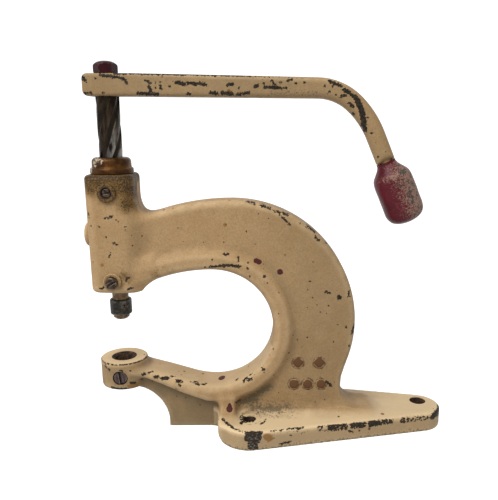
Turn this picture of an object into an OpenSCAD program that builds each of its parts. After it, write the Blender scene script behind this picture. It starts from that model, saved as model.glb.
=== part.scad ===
// Bench screw press for punching holes and setting eyelets.
// Frame: the base stands on z = 0. The origin lies midway between the two front bolt ears,
// +X runs from the spindle towards the tail of the base and +Y towards the back.
// "u" is the distance from the spindle axis along +X.

/* [Frame casting] */
// Throat depth, from the spindle axis to the back of the throat
throat_depth = 100; // [97:1:103]
// Radius of the throat's round back
throat_r = 39.8; // [38:0.2:41]
// Height of the throat's centre
throat_z = 71.1; // [70:0.1:73]
// Radius of the outside of the arch
arch_r = 79.4; // [78:0.2:81]
// Thickness of the web
web_t = 21; // [16:1:24]
// Width of the rim that lines the throat
rim_t = 29; // [26:1:30]
// Depth of that rim, measured away from the throat
rim_w = 10; // [8:0.5:12]
// Thickness of the web foot under the lower arm
foot_t = 13; // [8:1:15]

/* [Head] */
// Width of the head
head_w = 29.4; // [29:0.2:31]
// Depth of the head, front to back
head_d = 33; // [32:0.5:36]
// Underside of the head
head_bottom = 97; // [94:0.5:98]
// Top of the head
head_top = 169.7; // [168:0.1:172]
// Rounding of the head's upright edges
head_corner_r = 7.5; // [5:0.5:9]

/* [Base] */
// Thickness of the base plate
base_t = 12.5; // [10:0.5:13]
// Distance between the two front bolt holes
ear_spacing = 39; // [36:1:42]
// Radius of the front ears
ear_r = 19.6; // [18:0.2:20]
// Distance from the front holes to the middle of the tail
tail_x = 113.8; // [108:0.2:120]
// Radius of the tail
tail_r = 15.7; // [14:0.1:17]
// Diameter of the front bolt holes
ear_hole_d = 8; // [6:0.5:9]
// Diameter of the tail bolt hole
tail_hole_d = 11; // [8:0.5:11]

/* [Die cup] */
// Outside diameter of the cup
cup_d = 30.4; // [29:0.2:31]
// Top of the cup
cup_top = 48.7; // [47:0.1:50]
// Height of the cup
cup_h = 18.2; // [16:0.1:18.5]
// Diameter of the die socket
die_bore_d = 12.8; // [10:0.1:13.5]
// Diameter of the die clamp screw
clamp_d = 9.3; // [7:0.1:9.5]

/* [Screw spindle] */
// Outside diameter of the screw
screw_d = 14; // [13:0.5:15]
// Depth of the thread
thread_depth = 1.1; // [0.6:0.1:1.4]
// Number of starts
starts = 5; // [3:1:6]
// Travel for one full turn
lead = 105; // [90:5:140]
// Side of the square that carries the lever
square_w = 9.6; // [8:0.2:9.8]
// Diameter of the stud above the square
stud_d = 8; // [6:1:9]

/* [Lever] */
// Thickness at the hub
lever_h = 12.9; // [12:0.1:13]
// Thickness at the elbow
elbow_h = 12.1; // [10:0.1:13]
// Thickness at the knob
tip_h = 11.6; // [9:0.1:12]
// Width at the hub
lever_w = 16; // [14:1:18]
// Width at the knob
lever_end_w = 11; // [10:0.5:12]
// Distance from the spindle to the start of the elbow
elbow_u = 126; // [116:0.2:128]
// Radius of the elbow's first part, to its middle line
elbow_r = 34.2; // [30:0.1:46]
// Radius of the elbow's second part
elbow_r2 = 56; // [46:0.5:60]
// Angle at which the radius changes
elbow_change = 42.4; // [30:0.1:50]
// Angle through which the elbow turns down
elbow_turn = 66.3; // [60:0.1:72]
// Straight length after the elbow
drop_len = 17; // [14:0.2:20]
// Length of the knob
knob_len = 40.6; // [38:0.2:44]
// Diameter of the knob
knob_d = 24.6; // [22:0.1:26]

/* [Ram] */
// Diameter of the ram's shaft
ram_d = 10.4; // [10:0.2:11]
// Lower end of the ram
ram_bottom = 75.8; // [75:0.2:78]
// Diameter of the ram's head inside the frame
ram_head_d = 16.84; // [16:0.02:16.9]
// Diameter of the punch socket
punch_bore_d = 6; // [4:0.5:6.5]
// Diameter of the collar
collar_d = 13.9; // [13:0.1:15]
// Height of the collar
collar_h = 10; // [8:0.2:11]

/* [Fits] */
// Running clearance on the radius of turning and sliding fits
run = 0.08; // [0.04:0.01:0.1]
// Clearance on the radius of the screws that back out
screw_gap = 0.05; // [0.03:0.01:0.1]

/* [Hidden] */
$fn = 64;
eps = 0.01;

paint = [0.70, 0.60, 0.45];
steel = [0.30, 0.29, 0.28];
bronze = [0.45, 0.29, 0.12];
dark_red = [0.36, 0.08, 0.12];

// Places along u and z
axis_x = 15.5 - throat_depth;
throat_u = throat_depth - throat_r;
throat_top = throat_z + throat_r;
arch_u = 73.3;
arch_z = 74.5;
arch_top = arch_z + arch_r;
crown_r = 150;
lip_r = 104;
head_half = head_w / 2;
front = head_d / 2;
neck_r = 9;
neck_u = 26;
flare_r = 18;
flare_u = 162.6;
ear_y = ear_spacing / 2;
ear_u = -axis_x;
tail_u = tail_x - axis_x;
tail_hole = [tail_u + 2.2, 5];
boss_z = 131.8;
boss_h = 4;

// Inside the head
nut_bore_r = 11;
nut_floor = 152;
ram_bore_r = 8.5;
nut_top = 179.6;
bush_top = 107.5;
lock_z = 159.4;
guide_z = 104.3;
ring_r = 5.7;
ring_h = 1.9;
screw_r = 3;
dog_r = 2;
clamp_z = 38.7;

// Ram, swivel and spindle
ram_head_z = 132;
ram_top = 147.5;
socket_floor = 134.5;
spigot_r = 4.5;
pad_h = 1.5;
ball_r = 2.2;
groove_r = 3.3;
pin_r = 1.2;
pin_z = 143.9;
pin_offset = groove_r + pin_r + run;
pin_half = 5.9;
keyway = [97.5, 130.9];
keyway_floor = 3.4;
spigot_bottom = socket_floor + pad_h + 2 * ball_r + 0.02;
thread_bottom = 148;
lever_z = 221.85;
elbow_z = 220.3;
thread_top = lever_z - lever_h / 2;
hub_top = lever_z + lever_h / 2;
stud_top = hub_top + 5.4;
nut_af = 12.7;
hub_reach = 12.8;
punch_depth = 16;
collar_z = 78.9;
set_angle = 34.5;
set_z = 85.5;
set_r = 1.5;
grub_end = 6.4;

// Turns a shape drawn in (u, z) into a plate of thickness t, centred on the middle plane.
module plate(t) rotate([90, 0, 0]) linear_extrude(height = t, center = true) children();

module at_spindle() translate([axis_x, 0, 0]) children();

// Points its children's +Z out of the front of the head or cup, from distance y at height z.
module from_front(y, z) translate([axis_x, -y, z]) rotate([90, 0, 0]) children();

// A point on a circle
function on_circle(c, r, a) = [c[0] + r * cos(a), c[1] + r * sin(a)];

// ---------- frame casting ----------

// The open throat, with its mouth towards the front
module throat_outline() {
    translate([throat_u, throat_z]) circle(r = throat_r);
    intersection() {
        translate([throat_u, throat_top - lip_r]) circle(r = lip_r);
        polygon([[-60, 120], [-60, 44], [13, 44], [13.7, 42.9], [45, 33.5], [50, 32.2],
            [55, 31.5], [throat_u, throat_z - throat_r], [throat_u, 120]]);
    }
}

// Outside of the arch, from the head over the top and down to the base
module arch_outline() {
    difference() {
        translate([arch_u, arch_z]) circle(r = arch_r);
        translate([-arch_r, -arch_r]) square([arch_u + arch_r, 4 * arch_r]);
        translate([0, -arch_r]) square([3 * arch_r, arch_r + base_t / 2]);
    }
    intersection() {
        translate([arch_u, arch_top - crown_r]) circle(r = crown_r);
        translate([0, head_bottom + 5]) square([arch_u, arch_top]);
    }
    // hollow corner between the arch and the head
    difference() {
        translate([0, head_bottom + 20]) square([neck_u, 40]);
        translate([neck_u, 155.4]) circle(r = neck_r);
        translate([0, 155.4]) square([60, 20]);
    }
    // foot of the web, flared onto the base behind
    difference() {
        polygon([[66, 1], [flare_u, 1], [flare_u, base_t + flare_r],
            [flare_u - flare_r, base_t + flare_r], [147.4, 46.6], [120, 80], [66, 40]]);
        translate([flare_u, base_t + flare_r]) circle(r = flare_r);
    }
}

// Rim round the throat, w wide
module rim_outline(w) {
    difference() {
        union() {
            difference() {
                translate([throat_u, throat_z]) circle(r = throat_r + w);
                translate([throat_u - 80, 0]) square([80, 140]);
            }
            intersection() {
                translate([throat_u, throat_top - lip_r]) circle(r = lip_r + w);
                translate([4, throat_z]) square([throat_u - 4, 60]);
            }
            arm_outline(w);
        }
        throat_outline();
    }
}

// Lower arm between the cup and the rim: thin at the cup, w deep at the throat's lowest point
module arm_outline(w) {
    polygon([[8, 44], [8, 40.5], [16, 38.4], [26.3, 34.2], [39.4, 27.6], [46, 24.9],
        [throat_u, throat_z - throat_r - w], [throat_u, 44]]);
}

// Thin web from the arm down to the bench
module foot_outline() {
    difference() {
        polygon([[4, 34], [4, 28], [29.2, 6], [29.2, 1.2], [30.4, 0], [70, 0], [70, 24], [30, 33]]);
        translate([3.2, 3.5]) circle(r = 26);
    }
}

module base_outline() {
    tail = [tail_u, 0];
    gap = norm([tail_x, ear_y]);
    lean = -atan2(ear_y, tail_x) + acos((ear_r - tail_r) / gap);
    for (side = [-1, 1]) translate([ear_u, side * ear_y]) circle(r = ear_r);
    translate(tail) circle(r = tail_r);
    polygon([[ear_u - ear_r, -ear_y],
        for (side = [-1, 1]) each side < 0
            ? [on_circle([ear_u, -ear_y], ear_r, -lean), on_circle(tail, tail_r, -lean)]
            : [on_circle(tail, tail_r, lean), on_circle([ear_u, ear_y], ear_r, lean)],
        [ear_u - ear_r, ear_y]]);
}

// Hollow fillets along both sides of the web's foot
module base_fillets(r) {
    for (side = [-1, 1]) translate([66, side * web_t / 2, base_t - eps])
        mirror([0, side < 0 ? 1 : 0, 0]) rotate([90, 0, 90]) linear_extrude(height = 84)
            difference() {
                translate([-1, 0]) square(r + 1);
                translate([r, r]) circle(r = r);
            }
}

// Slopes that carry the rim down into the front ears
module ear_gussets() {
    r = 12;
    for (side = [-1, 1]) translate([65.6, 0, 0])
        mirror([0, side < 0 ? 1 : 0, 0]) rotate([90, 0, 90]) linear_extrude(height = 13)
            difference() {
                translate([2, base_t - 2]) square([rim_t / 2 + r - 2, r + 2]);
                translate([rim_t / 2 + r, base_t + r]) circle(r = r);
            }
}

module head_block() {
    corner = [head_half - head_corner_r, front - head_corner_r];
    soft = 2.5;
    hull() for (x = [-1, 1], y = [-1, 1]) translate([x * corner[0], y * corner[1], 0]) {
        translate([0, 0, head_bottom + soft])
            cylinder(r = head_corner_r, h = head_top - head_bottom - 2 * soft, $fn = 32);
        translate([0, 0, head_bottom])
            cylinder(r = head_corner_r - soft, h = head_top - head_bottom, $fn = 32);
    }
}

module nose_boss() {
    translate([2 - head_half, 0, boss_z]) rotate([0, -90, 0])
        rotate_extrude() polygon([[0, 0], [9.2, 0], [8.2, 2.4], [6.6, 4.6], [4.6, 2 + boss_h],
            [0, 2 + boss_h]]);
}

module cup_body() {
    translate([0, 0, cup_top - cup_h]) rotate_extrude() polygon([[0, 0], [cup_d / 2 - 2, 0],
        [cup_d / 2, 2], [cup_d / 2, cup_h], [0, cup_h]]);
}

// Plain raised marks on the web
module cast_marks() {
    for (u = [116, 130]) translate([u, -web_t / 2, 47.5]) rotate([90, 45, 0])
        cube([5.6, 5.6, 1.4], center = true);
    for (u = [113.5, 122.5, 131.5]) translate([u, -web_t / 2, 32.5]) rotate([90, 0, 0])
        cylinder(d = 6, h = 1.4, center = true);
}

module frame_casting() color(paint) translate([axis_x, 0, 0]) difference() {
    union() {
        plate(web_t) difference() {
            arch_outline();
            throat_outline();
        }
        plate(rim_t) rim_outline(rim_w);
        plate(rim_t - 4) rim_outline(rim_w + 2.2);
        plate(web_t) polygon([[8, 98], [16.8, 97.4], [23.6, 104.6], [24, 118], [8, 118]]);
        plate(foot_t) foot_outline();
        linear_extrude(height = base_t) base_outline();
        base_fillets(7);
        ear_gussets();
        head_block();
        nose_boss();
        cup_body();
        cast_marks();
    }
    // nut seat and ram bore
    translate([0, 0, nut_floor]) cylinder(r = nut_bore_r, h = head_top);
    translate([0, 0, head_bottom - 5]) cylinder(r = ram_bore_r, h = nut_floor);
    // screw holes of the head
    translate([0, 0, lock_z]) rotate([90, 0, 0]) cylinder(r = screw_r, h = 30);
    translate([0, 0, guide_z]) rotate([90, 0, 0]) cylinder(r = screw_r, h = 30);
    translate([0, 0, boss_z]) rotate([0, -90, 0]) cylinder(r = screw_r, h = 30);
    // die socket with its chamfer, and the clamp screw's hole
    translate([0, 0, cup_top - cup_h - 6]) cylinder(d = die_bore_d, h = cup_h + 7);
    translate([0, 0, cup_top - 1.6]) cylinder(d1 = die_bore_d, d2 = die_bore_d + 3.3, h = 1.65);
    translate([0, 0, clamp_z]) rotate([90, 0, 0]) cylinder(r = clamp_d / 2 + screw_gap, h = 30);
    // bolt holes and the ears' spot faces
    for (side = [-1, 1]) translate([ear_u, side * ear_y, 0]) {
        translate([0, 0, -1]) cylinder(d = ear_hole_d, h = base_t + 2);
        translate([0, 0, base_t - 0.4]) cylinder(r = 8, h = 1);
    }
    translate([tail_hole[0], tail_hole[1], -1]) cylinder(d = tail_hole_d, h = base_t + 2);
}

// ---------- pieces fixed in the frame ----------

module spindle_nut() color(bronze) at_spindle() difference() {
    translate([0, 0, nut_floor]) rotate_extrude() polygon([[screw_d / 2 + run, 0], [nut_bore_r, 0],
        [nut_bore_r, head_top - nut_floor], [13.2, head_top - nut_floor],
        [13.2, 21.2], [12.9, 21.6], [11.9, 21.6], [11.8, 26], [10.2, nut_top - nut_floor],
        [screw_d / 2 + run, nut_top - nut_floor]]);
    translate([0, -9.2, lock_z]) rotate([90, 0, 0]) cylinder(r = screw_r, h = 3);
}

module slot(depth, angle = 0) rotate([0, 0, angle])
    translate([-8, -0.6, -depth]) cube([16, 1.2, depth + 4]);

module nut_lock_screw() color(steel) from_front(front, lock_z) difference() {
    translate([0, 0, 9.2 - front]) cylinder(r = screw_r, h = front - 9.2 + ring_h - 0.4);
    translate([0, 0, ring_h - 0.4]) slot(1.2, 8);
}

module lock_ring() rotate_extrude() polygon([[screw_r, 0], [ring_r, 0], [ring_r, ring_h - 0.5],
    [ring_r - 0.5, ring_h], [screw_r, ring_h]]);

module nut_lock_ring() color(paint) from_front(front, lock_z) lock_ring();

module guide_screw_ring() color(paint) from_front(front, guide_z) lock_ring();

module guide_bush() color(bronze) at_spindle() difference() {
    translate([0, 0, head_bottom]) difference() {
        cylinder(r = ram_bore_r, h = bush_top - head_bottom);
        translate([0, 0, -1]) cylinder(r = ram_d / 2 + run, h = 30);
    }
    translate([0, 0, guide_z]) rotate([90, 0, 0]) cylinder(r = dog_r + 0.3, h = 20);
}

module ram_guide_screw() color(steel) from_front(front, guide_z) difference() {
    union() {
        translate([0, 0, 3.65 - front]) cylinder(r = dog_r, h = front);
        translate([0, 0, 8.7 - front]) cylinder(r = screw_r, h = front);
        translate([0, 0, ring_h]) cylinder(r = 3.8, h = 2.8);
        translate([0, 0, ring_h + 2.8]) cylinder(r1 = 3.8, r2 = 3.3, h = 0.5);
    }
    translate([0, 0, ring_h + 3.3]) slot(1.4, 30);
}

module oil_plug() color(steel) at_spindle() translate([0, 0, boss_z]) rotate([0, -90, 0])
    difference() {
        translate([0, 0, 12]) cylinder(r = screw_r, h = head_half + boss_h - 12.4);
        translate([0, 0, head_half + boss_h - 0.4]) slot(1.1, 75);
    }

module die_clamp_screw() color(steel) from_front(14.4, clamp_z) difference() {
    translate([0, 0, 6.7 - 14.4]) cylinder(d = clamp_d, h = 14.4 - 6.7);
    translate([0, 0, 0]) slot(2, 96);
}

// ---------- spindle, lever and knob ----------

// One start of the thread's cross-section: crest, flank, root and flank
function start_points(i) = let (pitch = 360 / starts, r = screw_d / 2, root = r - thread_depth)
    [for (p = [[0, r], [0.17, r], [0.34, r], [0.51, r], [0.61, root], [0.76, root], [0.9, root]])
        on_circle([0, 0], p[1], (i + p[0]) * pitch)];

module screw_spindle() color(steel) at_spindle() difference() {
    union() {
        length = thread_top - thread_bottom;
        translate([0, 0, thread_bottom])
            linear_extrude(height = length, twist = -360 * length / lead, slices = 36)
                polygon([for (i = [0 : starts - 1]) each start_points(i)]);
        translate([0, 0, spigot_bottom]) cylinder(r = spigot_r, h = thread_bottom - spigot_bottom);
        translate([-square_w / 2, -square_w / 2, thread_top])
            cube([square_w, square_w, hub_top - 0.4 - thread_top]);
        translate([0, 0, thread_top]) cylinder(d = stud_d, h = stud_top - thread_top);
    }
    // groove in which the swivel pins run
    translate([0, 0, pin_z - pin_r - 0.1]) difference() {
        cylinder(r = spigot_r + 1, h = 2 * pin_r + 0.2);
        translate([0, 0, -1]) cylinder(r = groove_r, h = 5);
    }
}

// Middle line of the lever, drawn in (u, z): two arcs that turn it down, then a straight drop
elbow_c = [elbow_u, elbow_z - elbow_r];
elbow_mid = on_circle(elbow_c, elbow_r, 90 - elbow_change);
elbow_c2 = on_circle(elbow_mid, elbow_r2, -90 - elbow_change);
drop_start = on_circle(elbow_c2, elbow_r2, 90 - elbow_turn);
lever_tip = drop_start + drop_len * [cos(elbow_turn), -sin(elbow_turn)];

// A point of the elbow, turned down by angle a and side * half the thickness off the middle line
function elbow_h_at(a) = elbow_h + (tip_h - elbow_h) * a / elbow_turn;
function elbow_point(a, side) = a < elbow_change
    ? on_circle(elbow_c, elbow_r + side * elbow_h_at(a) / 2, 90 - a)
    : on_circle(elbow_c2, elbow_r2 + side * elbow_h_at(a) / 2, 90 - a);

module lever_outline() {
    angles = [for (i = [0 : 22]) elbow_turn * i / 22];
    top = lever_z + lever_h / 2;
    bottom = lever_z - lever_h / 2;
    drop_side = tip_h / 2 * [sin(elbow_turn), cos(elbow_turn)];
    polygon(concat(
        [[-hub_reach, top - 3], [-hub_reach + 1, top - 1], [-hub_reach + 3, top], [16, top]],
        [for (a = angles) elbow_point(a, 1)],
        [lever_tip + drop_side, lever_tip - drop_side],
        [for (i = [22 : -1 : 0]) elbow_point(angles[i], -1)],
        [[16, bottom], [-hub_reach + 3, bottom], [-hub_reach + 1, bottom + 1],
            [-hub_reach, bottom + 3]]));
}

// Seen from above the lever is widest at its hub and narrows towards the knob
module lever_plan() {
    reach = lever_tip[0] + 12;
    polygon([[-hub_reach - 1, -lever_w / 2], [12, -lever_w / 2], [elbow_u, -lever_end_w / 2 - 1],
        [reach, -lever_end_w / 2], [reach, lever_end_w / 2], [elbow_u, lever_end_w / 2 + 1],
        [12, lever_w / 2], [-hub_reach - 1, lever_w / 2]]);
}

// Places its children at the lever's tip with +Z pointing along the knob
module at_knob() translate([axis_x + lever_tip[0], 0, lever_tip[1]])
    rotate([0, 90 + elbow_turn, 0]) children();

module lever() color(paint) {
    at_spindle() difference() {
        intersection() {
            plate(lever_w + 2) lever_outline();
            translate([0, 0, 150]) linear_extrude(height = 100) lever_plan();
        }
        translate([-square_w / 2, -square_w / 2, 200]) cube([square_w, square_w, 50]);
    }
    at_knob() translate([0, 0, -2]) cylinder(r = 4, h = 24);
}

module lever_nut() color(dark_red) at_spindle() translate([0, 0, hub_top]) difference() {
    intersection() {
        rotate([0, 0, 12]) cylinder(r = nut_af / sqrt(3), h = 8, $fn = 6);
        rotate_extrude() polygon([[0, 0], [6.4, 0], [7.4, 0.9], [7.4, 4.6], [6.1, 5.9], [4.6, 6.8],
            [2.4, 7.3], [0, 7.4]]);
    }
    translate([0, 0, -1]) cylinder(d = stud_d, h = stud_top - hub_top + 1.2);
}

module grip_knob() color(dark_red) at_knob() difference() {
    rotate_extrude() polygon([[0, 0.3], [6, 0.3], [6.1, 1.4], [9.1, 6.6], [10.9, 9.1], [11.7, 11.6],
        [knob_d / 2, 20], [knob_d / 2, knob_len - 8.5], [knob_d / 2 - 0.6, knob_len - 5.6],
        [knob_d / 2 - 2.4, knob_len - 2.8], [knob_d / 2 - 5.4, knob_len - 0.8], [4, knob_len],
        [0, knob_len]]);
    translate([0, 0, -1]) cylinder(r = 6 - eps, h = 24);
}

module knob_insert() color(bronze) at_knob() translate([0, 0, 0.3]) difference() {
    cylinder(r = 6 - eps, h = 22.6);
    translate([0, 0, -1]) cylinder(r = 4, h = 23);
}

// ---------- ram and punch holder ----------

module ram() color(steel) at_spindle() difference() {
    union() {
        translate([0, 0, ram_bottom + 1.2]) cylinder(d = ram_d, h = ram_head_z - ram_bottom);
        translate([0, 0, ram_bottom]) cylinder(d1 = ram_d - 2.4, d2 = ram_d, h = 1.2);
        translate([0, 0, ram_head_z]) cylinder(d = ram_head_d, h = ram_top - ram_head_z);
    }
    // punch socket and its screw hole
    translate([0, 0, ram_bottom - 1]) cylinder(d = punch_bore_d, h = punch_depth + 1);
    at_set_screw() cylinder(r = set_r + screw_gap, h = 10);
    // keyway for the guide screw's dog point
    translate([-dog_r - 0.2, -10, keyway[0]])
        cube([2 * dog_r + 0.4, 10 - keyway_floor, keyway[1] - keyway[0]]);
    // swivel socket and the pins' holes
    translate([0, 0, socket_floor]) cylinder(r = spigot_r + run, h = 20);
    for (side = [-1, 1]) translate([side * pin_offset, 12, pin_z]) rotate([90, 0, 0])
        cylinder(r = pin_r, h = 24);
}

module thrust_pad() color(steel) at_spindle() translate([0, 0, socket_floor])
    cylinder(r = spigot_r - 0.05, h = pad_h);

module thrust_ball() color(steel) at_spindle() translate([0, 0, socket_floor + pad_h + ball_r])
    sphere(r = ball_r);

module swivel_pins() color(steel) at_spindle()
    for (side = [-1, 1]) translate([side * pin_offset, pin_half, pin_z]) rotate([90, 0, 0])
        cylinder(r = pin_r, h = 2 * pin_half);

module punch_collar() color(steel) at_spindle() difference() {
    translate([0, 0, collar_z]) rotate_extrude() polygon([[ram_d / 2, 0], [collar_d / 2 - 0.9, 0],
        [collar_d / 2, 0.9], [collar_d / 2, collar_h - 0.9], [collar_d / 2 - 0.9, collar_h],
        [ram_d / 2, collar_h]]);
    at_set_screw() cylinder(r = set_r + screw_gap, h = 10);
}

// Points its children's +Z outwards through the collar, from the spindle axis
module at_set_screw() translate([0, 0, set_z]) rotate([90, 0, set_angle]) children();

module collar_set_screw() color(steel) at_spindle() at_set_screw() difference() {
    translate([0, 0, punch_bore_d / 2 + 0.05]) cylinder(r = set_r, h = grub_end - 3.05);
    translate([0, 0, grub_end - 1.2]) cylinder(r = 0.87, h = 3, $fn = 6);
}

frame_casting();
spindle_nut();
nut_lock_screw();
nut_lock_ring();
guide_bush();
ram_guide_screw();
guide_screw_ring();
oil_plug();
die_clamp_screw();
screw_spindle();
lever();
lever_nut();
grip_knob();
knob_insert();
ram();
thrust_ball();
thrust_pad();
swivel_pins();
punch_collar();
collar_set_screw();
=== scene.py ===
import math

import bpy
import numpy as np
from mathutils import Matrix, Vector


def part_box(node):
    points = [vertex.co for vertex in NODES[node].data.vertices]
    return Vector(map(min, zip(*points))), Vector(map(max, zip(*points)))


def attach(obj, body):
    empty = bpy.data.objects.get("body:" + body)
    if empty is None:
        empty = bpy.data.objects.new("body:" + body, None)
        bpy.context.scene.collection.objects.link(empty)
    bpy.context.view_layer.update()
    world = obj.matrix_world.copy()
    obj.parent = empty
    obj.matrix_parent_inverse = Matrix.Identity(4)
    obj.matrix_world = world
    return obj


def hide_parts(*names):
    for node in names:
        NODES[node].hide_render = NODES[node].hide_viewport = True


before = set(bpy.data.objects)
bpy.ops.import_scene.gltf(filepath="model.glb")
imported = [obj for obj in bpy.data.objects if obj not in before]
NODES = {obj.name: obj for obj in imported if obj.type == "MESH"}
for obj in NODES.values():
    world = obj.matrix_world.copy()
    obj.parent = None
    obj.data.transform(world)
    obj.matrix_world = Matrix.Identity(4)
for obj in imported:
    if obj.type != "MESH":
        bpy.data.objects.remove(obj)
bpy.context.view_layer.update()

# The shapes below are worked out in millimetres in the casting's own frame: u is the distance
# from the spindle's axis towards the tail, y is towards the back and z is up.
MM = 0.001
UP, TO_FRONT, TO_NOSE = (0, 0, 1), (0, -1, 0), (-1, 0, 0)
ram_lo, ram_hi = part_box("ram")
AXIS_X = (ram_lo.x + ram_hi.x) / 2 / MM


def to_metres(points):
    p = np.array(points, float)
    p[:, 0] += AXIS_X
    return p * MM


def to_mm(points):
    p = np.array(points, float) / MM
    p[:, 0] -= AXIS_X
    return p


def cosd(degrees):
    return math.cos(math.radians(degrees))


def sind(degrees):
    return math.sin(math.radians(degrees))


def unit(values):
    """The values held between 0 and 1."""
    return np.clip(values, 0, 1)


# ---------------------------------------------------------------- meshes

def link_mesh(name, verts, faces):
    mesh = bpy.data.meshes.new(name)
    mesh.from_pydata([tuple(v) for v in verts], [], [tuple(f) for f in faces])
    obj = bpy.data.objects.new(name, mesh)
    bpy.context.scene.collection.objects.link(obj)
    return obj


def new_object(name, verts, faces, body, slot, replaces=(), smooth_angle=None):
    """A smooth-shaded piece that rides on a body, from points in millimetres."""
    obj = link_mesh(name, to_metres(verts), faces)
    obj.data.validate()
    obj.data.shade_smooth()
    if smooth_angle is not None:
        obj.data.set_sharp_from_angle(angle=math.radians(smooth_angle))
    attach(obj, body)
    if replaces:
        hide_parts(*replaces)
    return obj


def points_of(obj):
    co = np.zeros(len(obj.data.vertices) * 3, np.float32)
    obj.data.vertices.foreach_get("co", co)
    return to_mm(co.reshape(-1, 3))


def set_attribute(obj, name, values):
    layer = obj.data.attributes.get(name) or obj.data.attributes.new(name, "FLOAT", "POINT")
    layer.data.foreach_set("value", np.asarray(values, np.float32))


def apply_modifiers(obj):
    bpy.context.view_layer.update()
    graph = bpy.context.evaluated_depsgraph_get()
    done = bpy.data.meshes.new_from_object(obj.evaluated_get(graph))
    obj.modifiers.clear()
    old = obj.data
    obj.data = done
    bpy.data.meshes.remove(old)


def cutter_from(parts):
    """One closed mesh from several lathed shapes, each (origin, direction, [(along, radius)...])."""
    verts, faces = [], []
    for origin, direction, profile in parts:
        v, f = lathe(profile, 72, origin, direction)
        faces += [[i + len(verts) for i in face] for face in f]
        verts += v
    return link_mesh("cutter", to_metres(verts), faces)


def subtract(obj, parts, solver="MANIFOLD"):
    """Cuts lathed shapes out of a piece."""
    cutter = cutter_from(parts)
    mod = obj.modifiers.new("cut", "BOOLEAN")
    mod.operation = "DIFFERENCE"
    mod.solver = solver
    mod.object = cutter
    apply_modifiers(obj)
    bpy.data.objects.remove(cutter)


def lathe(profile, segments, origin, direction):
    """Closed surface of revolution. profile is [(along, radius)...], and starts and ends at radius 0."""
    d, origin = np.array(direction, float), np.array(origin, float)
    a = np.cross(d, UP) if abs(d[2]) < 0.9 else np.array([1.0, 0, 0])
    b = np.cross(d, a)
    verts, rings = [], []
    for along, radius in profile:
        count = segments if radius else 1
        rings.append([len(verts) + i for i in range(count)])
        for i in range(count):
            t = 2 * math.pi * i / segments
            verts.append(origin + d * along + (a * math.cos(t) + b * math.sin(t)) * radius)
    faces = []
    for p, q in zip(rings, rings[1:]):
        n = max(len(p), len(q))
        for i in range(n):
            j = (i + 1) % n
            if len(p) == 1:
                faces.append([p[0], q[j], q[i]])
            elif len(q) == 1:
                faces.append([p[i], p[j], q[0]])
            else:
                faces.append([p[i], p[j], q[j], q[i]])
    return verts, faces


# ---------------------------------------------------------------- distance fields

def smin(a, b, k):
    h = np.maximum(k - np.abs(a - b), 0) / k
    return np.minimum(a, b) - h * h * k / 4


def polygon_field(points, x, y):
    """Signed distance to a closed polygon."""
    p = np.array(points, float)
    d = np.full(np.broadcast(x, y).shape, 1e9)
    inside = np.zeros(d.shape, bool)
    for a, b in zip(p, np.roll(p, -1, axis=0)):
        e = b - a
        wx, wy = x - a[0], y - a[1]
        t = unit((wx * e[0] + wy * e[1]) / max(e @ e, 1e-12))
        d = np.minimum(d, (wx - e[0] * t) ** 2 + (wy - e[1] * t) ** 2)
        crosses = (a[1] > y) != (b[1] > y)
        if abs(e[1]) > 1e-12:
            inside ^= crosses & (x < a[0] + (y - a[1]) * e[0] / e[1])
    return np.sqrt(d) * np.where(inside, -1, 1)


def plate(flat, across, half, r):
    """A flat outline given thickness 2 * half across it, with all its edges rounded to r."""
    a, b = flat + r, np.abs(across) - half + r
    return np.hypot(np.maximum(a, 0), np.maximum(b, 0)) + np.minimum(np.maximum(a, b), 0) - r


def arc(centre, radius, start, end, step=2.5):
    n = max(int(abs(math.radians(end - start)) * radius / step), 2)
    return [(centre[0] + radius * cosd(start + (end - start) * i / n),
             centre[1] + radius * sind(start + (end - start) * i / n))
            for i in range(n + 1)]


# Sizes of the casting
THROAT_C, THROAT_R = (60.9, 71.3), 40.2
LIP_R = 104.0
MOUTH_C = (THROAT_C[0], THROAT_C[1] + THROAT_R - LIP_R)
ARCH_C, ARCH_R, CROWN_R = (73.6, 74.5), 79.4, 150.0
EAR_U, EAR_Y, EAR_R = -AXIS_X, 19.5, 19.6
TAIL_U, TAIL_R = 198.3, 15.7
TAIL_HOLE = (TAIL_U + 2.2, 5.0)
WEB, RIM, FOOT = 10.5, 14.5, 6.5
HEAD_HALF, HEAD_FRONT, HEAD_Z = 14.7, 16.5, (96.6, 169.7)
CUP_R, CUP_Z, CUP_TOP = 15.2, (30.5, 50.0), 48.7
# Heights of the small screws and of the collar under the head
LOCK_Z, BOSS_Z, GUIDE_Z, CLAMP_Z, SET_Z = 159.4, 131.8, 104.3, 38.7, 85.5
COLLAR_R, COLLAR_Z = 6.95, (78.9, 88.9)
# The plain raised marks on the web
DIAMONDS, PIPS = ((116, 47.8), (130, 47.8)), ((113.5, 32.5), (122.5, 32.5), (131.5, 32.5))


def throat_points():
    top = arc(MOUTH_C, LIP_R, 90, 114)
    return (arc(THROAT_C, THROAT_R, -90, 90) + top[1:] + [(8, top[-1][1] - 4), (-60, 92), (-60, 46),
            (13.7, 42.7), (30, 38.2), (45, 33.6)]
            + [(u, 31.1 + 0.0099 * (60.9 - u) ** 2) for u in np.arange(46.5, 60, 1.5)])


def arch_points():
    crown_c = (ARCH_C[0], ARCH_C[1] + ARCH_R - CROWN_R)
    left = math.degrees(math.acos((14 - ARCH_C[0]) / CROWN_R))
    return (arc(crown_c, CROWN_R, left, 90) + arc(ARCH_C, ARCH_R, 90, -20)[1:]
            + [(146.4, 41.5), (145.0, 36.5)] + arc((162.6, 30.5), 18, 176, 268)
            + [(162.6, 4), (68, 4), (62, 26), (52, 27.5), (45, 29.5), (38, 31.5), (30, 35), (22, 37.5),
               (12, 40.5), (0, 42), (0, 100), (0, 140)])


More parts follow.
